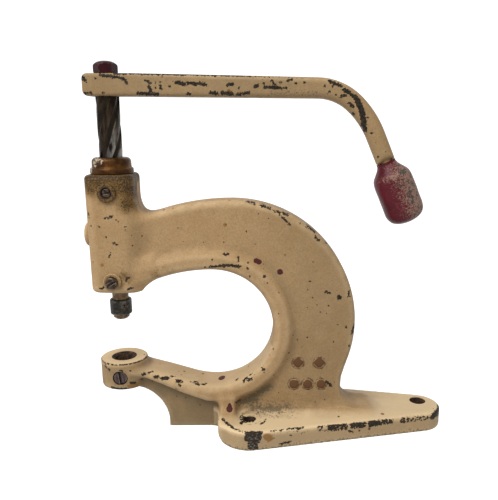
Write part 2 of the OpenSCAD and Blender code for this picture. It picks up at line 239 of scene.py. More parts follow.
def rim_points(w):
    """The rim's outline, w wide round the throat."""
    return ([(6, 96)] + arc(MOUTH_C, LIP_R + w, 114, 90) + arc(THROAT_C, THROAT_R + w, 90, -96)
            + [(46, 24.9), (39.4, 27.4), (26.3, 33.8), (16, 38.2), (6, 40.5), (6, 45), (-6, 46),
               (-6, 95)])


def base_points():
    gap = math.hypot(TAIL_U - EAR_U, EAR_Y)
    lean = math.degrees(-math.atan2(EAR_Y, TAIL_U - EAR_U) + math.acos((EAR_R - TAIL_R) / gap))
    return (arc((TAIL_U, 0), TAIL_R, -lean, lean, 1.5)
            + arc((EAR_U, EAR_Y), EAR_R, lean, 180, 1.5)
            + arc((EAR_U, -EAR_Y), EAR_R, 180, 360 - lean, 1.5))


def casting_field(h):
    """The casting's distance field on a grid of pitch h, with fillets wherever two parts meet."""
    lo = np.array([-22.35, -40.5, -2.45])
    size = np.array([238.0, 82.0, 175.5])
    u, y, z = [(a + h * np.arange(n)).astype(np.float32) for a, n in zip(lo, np.ceil(size / h))]
    U, Z = u[:, None], z[None, :]
    Y3, Z3, U3 = y[None, :, None], z[None, None, :], u[:, None, None]

    throat = polygon_field(throat_points(), U, Z).astype(np.float32)

    def flat(field):
        return field.astype(np.float32)[:, None, :]

    web = np.maximum(polygon_field(arch_points(), U, Z), -throat)
    body = plate(flat(web), Y3, WEB, 3.6)
    rim = np.maximum(polygon_field(rim_points(10.0), U, Z), -throat)
    body = smin(body, plate(flat(rim), Y3, RIM, 3.4), 5.5)
    # head, with the jaw under its back edge
    a = np.hypot(np.maximum(np.abs(U3) - HEAD_HALF + 7.5, 0),
                 np.maximum(np.abs(Y3) - HEAD_FRONT + 7.5, 0)) - 7.5
    a = np.maximum(a, np.maximum(np.abs(U3) - HEAD_HALF, np.abs(Y3) - HEAD_FRONT))
    head = plate(a, Z3 - sum(HEAD_Z) / 2, (HEAD_Z[1] - HEAD_Z[0]) / 2, 2.6)
    jaw = polygon_field([(4, 96.9), (16.8, 96.9), (20.4, 101.2), (24, 105.2), (24, 118), (4, 118)], U, Z)
    head = smin(head, plate(flat(jaw), Y3, 12.6, 2.4), 4)
    body = smin(body, head, np.interp(Z3, [107, 122, 138, 150], [3, 8, 12, 15]))
    boss = plate(np.hypot(Y3, Z3 - BOSS_Z) - 8.0, U3 + 9.3, 9.35, 2.4)
    body = smin(body, boss, 1.6)
    # cup, arm and foot
    cup = plate(np.hypot(U3, Y3) - CUP_R, Z3 - sum(CUP_Z) / 2, (CUP_Z[1] - CUP_Z[0]) / 2, 1.3)
    body = smin(body, cup, 5)
    foot = polygon_field([(2, 36), (2, 30)] + arc((2.9, 3.4), 26.6, 88, -7, 2)
                         + [(29.6, -6), (70, -6), (70, 26), (30, 35)], U, Z)
    body = smin(body, plate(flat(foot), Y3, FOOT, 1.2), 3)
    # base, with slopes that carry the rim down into the ears
    B = polygon_field(base_points(), u[:, None], y[None, :]).astype(np.float32)[:, :, None]
    base = plate(B, Z3 - 3.0, 9.5, 1.7)
    slope = polygon_field([(2, 4), (29, 4), (29, 12.2)] + arc((28.5, 26.2), 14, 268, 190, 1.5)
                          + [(14.3, 24), (2, 24)], np.abs(y)[:, None], z[None, :])
    slope = plate(slope.astype(np.float32)[None, :, :], U3 - 69.6, 4.4, 2.0)
    body = smin(body, base, np.interp(U3, [125, 150], [8, 13]))
    body = smin(body, slope, 6)
    # plain raised marks
    marks = ([(np.abs(U3 - mu) + np.abs(Z3 - mz)) / math.sqrt(2) - 2.9 for mu, mz in DIAMONDS]
             + [np.hypot(U3 - mu, Z3 - mz) - 3.1 for mu, mz in PIPS])
    for mark in marks:
        body = smin(body, plate(mark, Y3 + WEB, 0.85, 0.4), 0.8)
    return lo, np.ascontiguousarray(np.maximum(body, -Z3), np.float32)


def sample(grid, lo, h, p):
    """Trilinear value of the grid at points p."""
    q = (p - lo) / h
    cell = np.clip(np.floor(q).astype(int), 0, np.array(grid.shape) - 2)
    f = q - cell
    out = 0
    for corner in np.ndindex(2, 2, 2):
        out = out + np.where(corner, f, 1 - f).prod(1) * grid[tuple((cell + corner).T)]
    return out


def gradient(grid, lo, h, p):
    g = np.zeros_like(p)
    for k in range(3):
        step = np.zeros(3)
        step[k] = 0.5 * h
        g[:, k] = (sample(grid, lo, h, p + step) - sample(grid, lo, h, p - step)) / h
    return g


def to_surface(grid, lo, h, p, flattest):
    """Steps points towards the grid's zero level, and gives the gradient where they came from."""
    g = gradient(grid, lo, h, p)
    step = sample(grid, lo, h, p)[:, None] * g / np.maximum((g * g).sum(1), flattest)[:, None]
    return p - np.clip(step, -h / 2, h / 2), g


def surface_nets(grid, lo, h):
    """Quads through the grid's zero level, one point per cell that it crosses."""
    inside = grid < 0
    total = np.zeros(tuple(s - 1 for s in grid.shape) + (3,), np.float32)
    count = np.zeros(tuple(s - 1 for s in grid.shape), np.float32)
    for axis in range(3):
        others = [k for k in range(3) if k != axis]
        for s in (0, 1):
            for t in (0, 1):
                a = [slice(0, m - 1) for m in grid.shape]
                a[others[0]] = slice(s, grid.shape[others[0]] - 1 + s)
                a[others[1]] = slice(t, grid.shape[others[1]] - 1 + t)
                b = list(a)
                b[axis] = slice(1, grid.shape[axis])
                va, vb = grid[tuple(a)], grid[tuple(b)]
                cross = (va < 0) != (vb < 0)
                w = np.where(cross, va / np.where(cross, va - vb, 1), 0)
                count += cross
                total[..., axis] += w
                total[..., others[0]] += s * cross
                total[..., others[1]] += t * cross
    used = count > 0
    index = -np.ones(count.shape, int)
    index[used] = np.arange(used.sum())
    cell = np.argwhere(used)
    verts = lo + h * (cell + total[used] / count[used][:, None])
    faces = []
    for axis in range(3):
        b1, b2 = (axis + 1) % 3, (axis + 2) % 3
        lo_side = [slice(0, m) for m in grid.shape]
        hi_side = list(lo_side)
        lo_side[axis], hi_side[axis] = slice(0, grid.shape[axis] - 1), slice(1, None)
        lo_in, hi_in = inside[tuple(lo_side)], inside[tuple(hi_side)]
        spots = np.argwhere(lo_in != hi_in)
        ok = ((spots[:, b1] > 0) & (spots[:, b2] > 0) & (spots[:, b1] < grid.shape[b1] - 1)
              & (spots[:, b2] < grid.shape[b2] - 1))
        spots = spots[ok]
        flip = lo_in[tuple(spots.T)]
        quad = []
        for s, t in ((1, 1), (0, 1), (0, 0), (1, 0)):
            c = spots.copy()
            c[:, b1] -= s
            c[:, b2] -= t
            quad.append(index[tuple(c.T)])
        q = np.stack(quad, 1)
        q[~flip] = q[~flip][:, ::-1]
        faces.append(q)
    return verts, np.concatenate(faces)


def blurred(grid, radius, passes=3):
    out = grid.astype(np.float32)
    for axis in range(3):
        for _ in range(passes):
            out = np.moveaxis(out, axis, 0)
            pad = np.concatenate([np.repeat(out[:1], radius + 1, 0), out, np.repeat(out[-1:], radius, 0)])
            c = np.cumsum(pad, 0, dtype=np.float64)
            out = ((c[2 * radius + 1:] - c[:-2 * radius - 1]) / (2 * radius + 1)).astype(np.float32)
            out = np.moveaxis(out, 0, axis)
    return out


def build_casting():
    h = 1.0
    lo, grid = casting_field(h)
    verts, quads = surface_nets(grid, lo, h)
    for _ in range(4):
        verts, g = to_surface(grid, lo, h, verts, 0.2)
        # even the points out along the surface
        centre = np.zeros_like(verts)
        n = np.zeros(len(verts))
        for a, b in ((0, 1), (1, 2), (2, 3), (3, 0)):
            np.add.at(centre, quads[:, a], verts[quads[:, b]])
            np.add.at(centre, quads[:, b], verts[quads[:, a]])
            np.add.at(n, quads[:, a], 1)
            np.add.at(n, quads[:, b], 1)
        move = centre / n[:, None] - verts
        normal = g / np.maximum(np.linalg.norm(g, axis=1), 1e-6)[:, None]
        move -= (move * normal).sum(1)[:, None] * normal
        verts = verts + 0.4 * move
    verts, _ = to_surface(grid, lo, h, verts, 0.2)
    verts[:, 2] = np.maximum(verts[:, 2], 0)
    obj = new_object("casting", verts, quads, "frame", "painted_casting", ["frame_casting"])
    return obj, (blurred(grid, 2) - grid, lo, h)


# ---------------------------------------------------------------- small pieces from distance fields

def field_piece(name, field, box, h, place, replaces, body="frame", slot="dark_steel", smooth_angle=55):
    """Meshes field(x, y, z) < 0, given in the piece's own axes, and puts it at place. box is its
    lowest and highest corner, or the (radius, z0, z1) of a round piece."""
    if len(box) == 3:
        r, z0, z1 = box
        box = (-r, -r, z0), (r, r, z1)
    lo, hi = np.array(box[0], float) - 2.3 * h, np.array(box[1], float) + 2.3 * h
    n = np.ceil((hi - lo) / h).astype(int) + 1
    x, y, z = [(lo[i] + h * np.arange(n[i])) for i in range(3)]
    grid = field(x[:, None, None], y[None, :, None], z[None, None, :]) + np.zeros(n)
    grid = np.ascontiguousarray(grid, np.float32)
    verts, quads = surface_nets(grid, lo, h)
    for _ in range(3):
        verts, _ = to_surface(grid, lo, h, verts, 0.3)
    convex = sample(blurred(grid, 1, 2) - grid, lo, h, verts) / h
    obj = new_object(name, place(verts), quads, body, slot, [replaces], smooth_angle)
    set_attribute(obj, "edge", unit(convex * 4))
    set_attribute(obj, "hollow", unit(-convex * 4))
    return obj


def as_it_is(p):
    return p


def from_front(y, z):
    """Places a piece so that its +Z points out of the front, from y at height z."""
    return lambda p: np.stack([p[:, 0], -y - p[:, 2], z + p[:, 1]], 1)


def rod(x, y, z, radius, z0, z1, soft):
    """A round bar from z0 to z1 with its rims rounded."""
    return plate(np.hypot(x, y) - radius, z - (z0 + z1) / 2, (z1 - z0) / 2, soft)


def slot_cut(x, y, z, floor_z, angle, width):
    """A screwdriver slot, turned by angle, open above floor_z."""
    a = math.radians(angle)
    return np.maximum(np.abs(y * math.cos(a) - x * math.sin(a)) - width / 2, floor_z - z)


def cut(a, b, k=0.3):
    """a without b, with the new edges softened."""
    return -smin(-a, b, k)


def slotted(x, y, z, radius, z0, z1, soft, slot_depth, angle, width, dome=0.0):
    """A round bar from z0 to z1 with a domed top and a slot in it."""
    r2 = x * x + y * y
    body = rod(x, y, z + dome * r2 / radius ** 2, radius, z0, z1, soft)
    return cut(body, slot_cut(x, y, z, z1 - slot_depth, angle, width), 0.25)


# ---------------------------------------------------------------- pieces built ring by ring

def circle(n):
    return 2 * math.pi * np.arange(n) / n


def ring_stack(rings, closed=False, place=None):
    """Rings of (z, radii round the circle), joined up. Closed joins the last ring to the first."""
    n = len(rings[0][1])
    t = circle(n)
    verts = np.concatenate([np.stack([r * np.cos(t), r * np.sin(t), np.full(n, z)], 1)
                            for z, r in rings])
    faces = []
    count = len(rings)
    for k in range(count if closed else count - 1):
        a, b = k * n, ((k + 1) % count) * n
        for i in range(n):
            j = (i + 1) % n
            faces.append([a + i, a + j, b + j, b + i])
    if not closed:
        faces.append(list(range(n))[::-1])
        faces.append([(count - 1) * n + i for i in range(n)])
    return (place(verts) if place else verts), faces


def even_profile(points, step):
    """Points along a smooth curve through the profile, about step apart."""
    p = np.array(points, float)
    q = np.vstack([2 * p[0] - p[1], p, 2 * p[-1] - p[-2]])
    out = []
    for i in range(1, len(q) - 2):
        n = max(int(np.linalg.norm(q[i + 1] - q[i]) / step), 1)
        for t in np.arange(n) / n:
            a, b, c, d = q[i - 1], q[i], q[i + 1], q[i + 2]
            out.append(0.5 * (2 * b + (c - a) * t + (2 * a - 5 * b + 4 * c - d) * t * t
                              + (3 * b - a - 3 * c + d) * t ** 3))
    return out + [p[-1]]


# Thread of the spindle: five rounded lands that climb one turn in LEAD
SCREW_R, THREAD_DEPTH, STARTS, LEAD = 7.0, 1.1, 5, 105.0
THREAD_Z = (148.0, 215.4)
LAND = np.array([[0, 1], [0.05, 1.0], [0.46, 1.0], [0.51, 0.94], [0.60, 0.07], [0.64, 0],
                 [0.86, 0], [0.91, 0.07], [0.985, 0.94], [1.0, 1]])


def thread_land(z, t):
    """1 on a land, 0 in a groove."""
    turn = (t / (2 * math.pi) - (z - THREAD_Z[0]) / LEAD) * STARTS
    return np.interp(turn % 1.0, LAND[:, 0], LAND[:, 1])


def build_spindle():
    t = circle(200)

    def plain(r):
        return np.full(len(t), float(r))

    def square(half, corner):
        c, s = np.abs(np.cos(t)), np.abs(np.sin(t))
        return np.minimum(half / np.maximum(c, s), corner)

    def thread(z, shrink=0.0):
        return SCREW_R - THREAD_DEPTH * (1 - thread_land(z, t)) - shrink

    rings = [(140.42, plain(2.0)), (140.42, plain(4.0)), (140.92, plain(4.5)), (142.4, plain(4.5)),
             (142.6, plain(4.4)), (142.6, plain(3.3)), (145.2, plain(3.3)), (145.2, plain(4.4)),
             (145.4, plain(4.5)), (147.9, plain(4.5)), (148.0, thread(148.0, 0.6)),
             (148.4, thread(148.4, 0.1))]
    for z in np.arange(149.0, 215.3, 0.8):
        rings.append((z, thread(z)))
    rings += [(215.35, thread(215.35)), (215.4, square(4.8, 6.5)), (227.4, square(4.8, 6.5)),
              (227.9, square(4.4, 6.0)), (227.9, plain(4.0)), (233.2, plain(4.0)),
              (233.7, plain(3.5))]
    obj = new_object("spindle", *ring_stack(rings), "spindle", "oiled_steel", ["screw_spindle"], 40)
    land = np.concatenate([(r - SCREW_R + THREAD_DEPTH) / THREAD_DEPTH for _, r in rings])
    set_attribute(obj, "land", unit(land))
    return obj


def build_nut():
    """The bronze nut that the spindle climbs in, with its own thread inside."""
    t = circle(200)

    def lump(z, r):
        dent = 0.12 * np.cos(3 * t + 0.6 + 0.3 * z) + 0.08 * np.cos(7 * t + z)
        return r * (1 + 0.006 * dent * unit((z - 169) / 2)) + 0 * t

    def inner(z, extra=0.0):
        return SCREW_R + 0.14 - THREAD_DEPTH * (1 - thread_land(z, t)) + extra

    outside = [(152.0, 10.6), (152.4, 11.0), (169.65, 11.0), (169.72, 11.2), (169.72, 12.75),
               (170.1, 13.15), (171.6, 13.2), (172.6, 13.15), (173.2, 12.8), (173.5, 12.3),
               (173.9, 12.05), (174.6, 11.95), (176.0, 11.9), (177.3, 11.85), (178.1, 11.6),
               (178.8, 11.1), (179.3, 10.4), (179.55, 9.6), (179.6, 8.6)]
    rings = [(z, lump(z, r)) for z, r in outside]
    rings += [(179.55, inner(179.5, 0.9)), (179.2, inner(179.2, 0.35)), (178.7, inner(178.7))]
    for z in np.arange(177.6, 153.0, -1.2):
        rings.append((z, inner(z)))
    rings += [(152.4, inner(152.4)), (152.0, inner(152.0, 0.4))]
    obj = new_object("spindle_nut_bronze", *ring_stack(rings, closed=True), "frame", "bronze",
                     ["spindle_nut"], 45)
    subtract(obj, [((0, -9.2, LOCK_Z), TO_FRONT, [(0, 0), (0, 3.0), (5, 3.0), (5, 0)])], "EXACT")
    obj.data.set_sharp_from_angle(angle=math.radians(40))
    return obj


# Middle line of the lever, as in the CAD: two arcs that turn it down, then a straight drop
LEVER_Z, ELBOW_Z, ELBOW_U = 221.85, 220.3, 126.0
R1, R2, CHANGE, TURN, DROP = 34.2, 56.0, 42.4, 66.3, 17.0
LEVER_H, ELBOW_H, TIP_H = 12.9, 12.1, 11.6


def on_circle(c, r, degrees):
    a = math.radians(degrees)
    return np.array([c[0] + r * math.cos(a), c[1] + r * math.sin(a)])


ELBOW_C = np.array([ELBOW_U, ELBOW_Z - R1])
ELBOW_C2 = on_circle(on_circle(ELBOW_C, R1, 90 - CHANGE), R2, -90 - CHANGE)
DROP_AT = on_circle(ELBOW_C2, R2, 90 - TURN)
DOWN = np.array([cosd(TURN), -sind(TURN)])
TIP = DROP_AT + DROP * DOWN


def lever_line():
    """[(point, direction, half height)] along the lever's middle line."""
    out = []
    for u in np.linspace(-12.8, ELBOW_U, 60):
        f = unit((u - 16) / (ELBOW_U - 16))
        out.append((np.array([u, LEVER_Z + (ELBOW_Z - LEVER_Z) * f]), np.array([1.0, 0.0]),
                    (LEVER_H + (ELBOW_H - LEVER_H) * f) / 2))
    for i in range(1, 37):
        a = TURN * i / 36
        c, r = (ELBOW_C, R1) if a < CHANGE else (ELBOW_C2, R2)
        out.append((on_circle(c, r, 90 - a),
                    np.array([cosd(a), -sind(a)]),
                    (ELBOW_H + (TIP_H - ELBOW_H) * a / TURN) / 2))
    for i in range(1, 8):
        out.append((DROP_AT + DROP * i / 7 * DOWN, DOWN, TIP_H / 2))
    return out


def build_lever():
    top, low = [[p + sign * half * np.array([-d[1], d[0]]) for p, d, half in lever_line()]
                for sign in (1, -1)]
    outline = top + low[::-1]

    def field(x, y, z):
        reach = TIP[0] + 12
        half = np.interp(x, [-12.8, 12, ELBOW_U, reach], [8, 8, 6.5, 5.5])
        soft = np.interp(x, [0, 40, 100, 140, 165], [1.7, 1.9, 2.9, 4.2, 4.9])
        flat = polygon_field(outline, x[:, 0, :], z[0, :, :] + 0 * x[:, 0, :])[:, None, :]
        # the outline's own left corners are rounder than its edges
        left = np.hypot(np.maximum(-x - 12.8 + 3.2, 0),
                        np.maximum(np.abs(z - LEVER_Z) - 6.45 + 3.2, 0)) - 3.2
        flat = np.maximum(flat, np.where(x < -9.6, left, -99.0))
        body = plate(flat, y + 0 * flat, half, soft)
        along = (x - TIP[0]) * DOWN[0] + (z - TIP[1]) * DOWN[1]
        off = np.hypot((x - TIP[0]) * -DOWN[1] + (z - TIP[1]) * DOWN[0], y)
        neck = np.maximum(off - 4.0, np.maximum(-along - 2, along - 22))
        body = np.minimum(body, neck)
        hole = np.maximum(np.maximum(np.abs(x) - 4.8, np.abs(y) - 4.8), np.abs(z - LEVER_Z) - 20)
        return np.maximum(body, -hole)

    return field_piece("lever_arm", field, ((-12.8, -8, 155.6), (179.6, 8, 228.3)), 0.62, as_it_is,
                       "lever", "spindle", "painted_casting", 50)


def build_knob():
    profile = even_profile([(0.3, 4.0), (0.35, 5.4), (1.4, 5.9), (3.6, 6.9), (6.6, 9.2), (8.8, 10.9),
                            (10.6, 11.65), (13.5, 12.1), (20, 12.3), (27, 12.3), (32.1, 12.3),
                            (35.3, 11.6), (37.9, 9.9), (39.6, 7.0), (40.4, 4.0)], 0.6)
    t = circle(144)
    rings = []
    for along, r in profile:
        dent = (0.09 * np.cos(2 * t + 0.13 * along) + 0.05 * np.cos(5 * t - 0.31 * along + 1)
                + 0.03 * np.cos(11 * t + 0.7 * along))
        rings.append((along, np.minimum(r + dent * min(along / 6, 1), 12.3)))
    rings = [(0.3, np.full(len(t), 5.2)), *rings[2:], (40.6, np.full(len(t), 0.05))]
    side = np.array([-DOWN[1], DOWN[0]])

    def place(p):
        return np.stack([TIP[0] + DOWN[0] * p[:, 2] + side[0] * p[:, 0], p[:, 1],
                         TIP[1] + DOWN[1] * p[:, 2] + side[1] * p[:, 0]], 1)

    verts, faces = ring_stack(rings, place=place)
    return new_object("knob", verts, [f[::-1] for f in faces], "spindle", "red_knob", ["grip_knob"], 60)


# ---------------------------------------------------------------- wear, placed one by one

FRONT, TOP, SPACE = 1, 2, 0
CHIP, NO_CHIP = 0.42, 3.0


def reach(p, side, marks):
    """Distance from each mark to each point, and the marks' radii. A mark is a radius and then the
    corners of a line, or one point: (u, z) on a front face, (u, y) on a top, (u, y, z) in space."""
    q = p[:, {FRONT: [0, 2], TOP: [0, 1], SPACE: [0, 1, 2]}[side]]
    out = np.full((len(marks), len(p)), 1e9)
    for row, (_, *line) in zip(out, marks):
        line = np.array(line, float).reshape(-1, q.shape[1])
        for a, b in zip(line, line[1:] if len(line) > 1 else line):
            e = b - a
            t = unit((q - a) @ e / max(e @ e, 1e-12))
            row[:] = np.minimum(row, np.linalg.norm(q - a - t[:, None] * e, axis=1))
    return out, np.array([[m[0]] for m in marks])


def near(p, side, level, marks, depth=7.0):
    """How close each point is to any of the marks, 1 at their middle and 0 at their edge, within
    depth of the front face at y = level or the top at z = level."""
    d, radius = reach(p, side, marks)
    held = 1 if side == SPACE else unit((depth - np.abs(p[:, side] - level)) / 2)
    return unit(1 - d / radius).max(0) * held


def inside(p, side, level, marks, depth=7.0):
    """How many millimetres each point lies inside the nearest chip, negative outside them all. A chip
    is about 0.4 of its mark's radius wide each way."""
    d, radius = reach(p, side, marks)
    away = 0 if side == SPACE else np.maximum(np.abs(p[:, side] - level) - depth, 0)
    return np.clip((CHIP * radius - d).max(0) - away, -NO_CHIP, NO_CHIP)


def dots(size, *points):
    return [(size, *p) for p in points]


def ear_arc(size, radius, start, end):
    """A mark round the hole in the front ear."""
    return size, *np.ravel(arc((EAR_U, -EAR_Y), radius, start, end))


def most(*layers):
    return np.max(layers, axis=0)


def build_wear(obj, fields):
    convex, lo, h = fields
    p = points_of(obj)
    u, y, z = p.T
    held = np.clip(p, lo + 0.1, lo + h * (np.array(convex.shape) - 1.1))
    bend = sample(convex, lo, h, held)
    set_attribute(obj, "edge", unit(bend / 0.85))
    # hollow: how concave the surface is, where the paint gets painted shade and grime
    set_attribute(obj, "hollow", unit(-bend / 0.8))

    head = inside(p, FRONT, -HEAD_FRONT, [
        (1.6, -2, 144, 3, 145.5), (1.5, 5, 143.5, 6, 142), (1.9, 10, 139), (1.6, -6, 139), (1.6, -2, 133),
        (1.3, 5, 135), (1.6, 2, 129, 4.5, 128), (1.4, 0, 123, -1, 120), (1.8, -8, 100, -5, 101),
        (1.6, 9, 99.5, 12, 100), (1.6, 8, 105, 10, 107), (1.3, -12.5, 147, -12, 144), (1.2, -11, 139)])
    rim = inside(p, FRONT, -RIM, [
        (2.0, 60, 113.5, 67, 114, 72, 114), (2.6, 73, 114.5, 79, 113.5), (2.0, 84, 112), (1.5, 85, 107.5),
        (2.2, 94, 107), (1.5, 96, 103), (1.8, 69, 121, 72, 121), (1.7, 78, 119, 78, 117), (1.5, 62, 118),
        (1.4, 57, 113), (1.5, 75, 21, 77, 22), (1.4, 28, 49)])
    arm = inside(p, SPACE, 0, [
        (2.6, 14.6, -14.3, 41, 16, -13.5, 41.5), (3.4, 22.4, -14.2, 40, 24.4, -13.4, 39.8),
        (3.9, 27.6, -14, 38.6, 30.2, -12.8, 38.4), (2.6, 38.4, -14.5, 33.6),
        (2.6, 82.6, -14.6, 36.6, 85, -14.2, 38), (2.6, 93.4, -14.4, 44.6),
        (2.4, 91.4, -13.8, 45.4, 92.2, -13.4, 46.4), (2.0, 97, -13.6, 54), (1.9, 99.5, -13.5, 58.5)])
    bed = inside(p, TOP, 40, [
        (1.7, 18.6, -12, 20.4, -10.4), (1.6, 32.8, -10.4, 34.6, -9.6), (2.7, 36.6, -13, 38.4, -12.4),
        (1.9, 39.8, -12.2), (1.9, 45, -10.8), (2.3, 48, -9.4, 49.4, -9), (2.3, 48.6, -11.4, 50.4, -11),
        (2.4, 53.4, -10.2, 55.4, -9.6), (1.9, 75, -9.6, 76.4, -8.4), (2.4, 80.4, -12.4, 82.4, -11.8),
        (1.9, 85.0, -11.4), (1.4, 83, 3), (1.3, 23.2, 3), (1.3, 36.6, -1)], 17.0)
    bed = np.where((z > 30) & (u > 14), bed, -NO_CHIP)
    web = inside(p, FRONT, -WEB, [
        (1.7, 84, 153, 88, 152), (1.6, 92, 151, 98, 149), (1.6, 100, 147.5, 109, 145),
        (1.5, 104, 145, 110, 139), (1.5, 116, 140), (1.6, 121, 138, 126, 134), (2.0, 126, 131, 128, 129),
        (1.5, 133, 127), (1.5, 83, 135), (1.5, 88, 127), (1.9, 133, 96, 136, 95),
        (3.1, 142, 91.5, 142, 93), (1.6, 135, 87), (1.6, 123, 103), (1.4, 125, 92), (1.4, 128, 87),
        (1.3, 122, 65), (1.5, 141, 74), (1.7, 147, 72), (2.2, 152, 73, 151, 68), (1.5, 139, 62),
        (2.4, 135, 34, 138, 31), (1.9, 148, 92, 148, 96)])
    cup = inside(p, FRONT, -14.0, [
        (1.8, -10, 46, -7, 45), (1.5, -3, 45), (1.5, 0, 45, 2, 44), (1.5, 7, 44),
        (2.0, -6, 32, -1, 31.5, 4, 31.5), (1.8, 6, 35, 9, 35), (1.6, 13, 36)], 9.0)
    deck = inside(p, TOP, 12.0, [
        (1.7, 80, -24, 80, -17), (1.4, 94, -15), (1.6, 154, -9), (1.4, 122, -7), (2.0, 88, -3, 98, -3),
        ear_arc(4.4, 5.2, 150, 235), ear_arc(1.6, 10.5, -50, -10), (2.4, 79, -27, 80, -24),
        ear_arc(2.2, 4.6, -170, -60)], 3.0)
    # the long front edge of the base
    run = inside(p, TOP, 11.5, [
        (2.2, 67, -24, 70.5, -29.5, 74, -32.5), (1.7, 76, -33.8, 80, -36.5, 84, -37.8),
        (1.0, 98, -36, 106, -34), (1.5, 108, -33.5, 119, -31.5), (1.2, 128, -30, 133, -29),
        (1.6, 135, -29, 147, -26.5), (1.3, 150, -26, 160, -24), (1.6, 162, -23.5, 178, -20.5),
        (1.7, 184, -19.5, 205, -15.2), (2.3, 205, -15.2, 211, -9, 213.5, -2)], 3.0)
    low = inside(p, FRONT, -33, [
        (1.7, 104, 3, 111, 3.5), (1.3, 111, 8), (1.6, 147, 8, 151, 5.5), (1.4, 140, 8)], 8.0)
    out = np.hypot(u, y)
    cup_rim = (out > 14.3) & (out < 15.6) & (np.abs(z - CUP_TOP + 0.2) < 0.7)
    set_attribute(obj, "chip", most(head, rim, arm, bed, web, cup, deck, run, low,
                                    np.where(cup_rim, 0.25, -NO_CHIP)))
    # worn tops of the raised marks
    worn = near(p, FRONT, -11.5, dots(9, *DIAMONDS) + dots(7, *PIPS), 4.0)
    set_attribute(obj, "marks", unit(worn * 2) * unit((-10.75 - y) / 0.35))
    set_attribute(obj, "oil", most(
        near(p, FRONT, -HEAD_FRONT, [(15, 9, 164, 17, 160), (11, -8, 168, 0, 160), (9, 11, 152),
                                     (7, -12, 164, -9, 161)], 18.0),
        unit((z - 162) / 5),
        1.2 * near(p, FRONT, -HEAD_FRONT, [(8.5, 0, LOCK_Z)], 5.0),
        0.5 * near(p, FRONT, -HEAD_FRONT, [(8, 0, GUIDE_Z, 7, 107)], 5.0),
        0.4 * near(p, FRONT, -WEB, [(9, 24, 108, 34, 112)], 6.0)))
    # dark lines of dried oil under the nut and round the raised marks
    under_nut = unit((z - 167.3) / 1.6) * (z < 169.2) * (y < 5)
    marks_off = reach(p, FRONT, dots(1, (116, 47.4), (130, 47.4), *PIPS))[0].min(0)
    ring = unit(1 - np.abs(marks_off - 4.0) / 1.6)
    ring = ring * (np.abs(y + WEB) < 1.2) * (y > -11.2)
    around = near(p, TOP, 12.5, [ear_arc(1.7, 8.4, 200, 330), ear_arc(1.7, 7.6, 20, 150)], 4.0)
    set_attribute(obj, "crust", most(under_nut, 0.7 * ring, 0.62 * around))
    set_attribute(obj, "rust", most(
        near(p, FRONT, -HEAD_FRONT, [(1.8, -6, 139), (2.2, -6, 115), (1.5, 32, 123)], 6.0),
        near(p, FRONT, -WEB, dots(2.0, (70, 139), (107, 120)), 6.0),
        1.2 * near(p, FRONT, -37.5, [(4.8, 96, 8.8, 97, 8.2)], 6.0),
        near(p, FRONT, -RIM, [(3.0, 6, 33, 10, 33)], 6.0)))
    drops = near(p, FRONT, -13, [(3.8, 71, 18.2), (2.9, 71, 19.5), (1.9, 71, 20.6),
                                 (2.8, 89, 116.5, 91, 115.5), (3.6, 104, 109)], 8.0) * (y < 0)
    set_attribute(obj, "maroon", most(drops, near(p, SPACE, 0, [(4.0, 64.9, -2.4, 32.4, 65.3, 0.4, 32.6)])))
    set_attribute(obj, "bare", most(
        near(p, FRONT, -38.5, [(4.7, 84, 9.5, 86, 8), (4.2, 88, 6.5, 90, 9), (4.0, 85.5, 3.5, 88, 3)], 5.0),
        near(p, TOP, 12, [(4.0, 84, -39, 91, -38.5)], 2.5)))
    # grime with painted shade in the valley at the web's foot, round the marks and over the lower edges
    outline = near(p, FRONT, -10.6, dots(5.5, (116, 47.4), (130, 47.4)) + dots(5, *PIPS), 2.0)
    set_attribute(obj, "grime_and_shade", most(
        0.6 * near(p, FRONT, -13, [(8, 80, 19, 96, 17, 112, 16)], 9.0),
        near(p, FRONT, -12, [(4.5, 86, 16, 104, 15), (5, 78, 20, 88, 21),
                             (5, 82, 21, 88, 24.5, 96, 30)], 9.0),
        outline * (y > -11.3),
        0.8 * near(p, FRONT, -39, [(4.5, 60, 0, 100, 0, 200, 0)], 40.0),
        0.6 * near(p, FRONT, -16, [(5, 2, 105, 6, 109, 10, 107)], 4.0)))
    # soil and painted shade on the web (more towards its right), the foot under the arm, the back of the
    # cup and the base's sides
    lip = np.interp(u, [13.7, 30, 45, 52, 61], [42.7, 38.2, 33.6, 31.6, 31.1])
    foot = unit((lip - 3 - z) / 2) * (u < 67)
    set_attribute(obj, "soil_and_shade", most(
        0.30 * (np.abs(y) < 12) * unit((u - 70) / 60),
        0.66 * foot * unit((13 - np.abs(y)) / 3),
        0.44 * (out > 13) * unit((20 - u) / 6) * (z < 47),
        0.26 * (z < 10) * (u > 60),
        0.9 * near(p, FRONT, -12, [(7, 82, 21, 88, 24.5, 97, 31)], 6.0)))
    # painted light: paint made paler where it faces up, on the base's top, the throat's floor and the cup's
    # rim
    top = (u > 60) * unit((15.5 - z) / 3) * unit((z - 10.5) / 1.2)
    top = most(top, (z < 10.5) * (u > 60) * 0.24)
    throat = np.hypot(u - THROAT_C[0], z - THROAT_C[1])
    off = np.where(u > 61, np.abs(throat - THROAT_R), np.abs(z - lip))
    sill = unit((2.5 - off) / 1.5) * (z < 60) * unit((u - 10) / 8)
    set_attribute(obj, "pale", most(
        top * np.interp(u, [120, 170], [0.88, 0.6]),
        0.34 * sill * unit((14 - np.abs(y)) / 2),
        0.4 * (out < 15.5) * unit((z - CUP_TOP + 0.8) / 0.5) * (z < 60)))
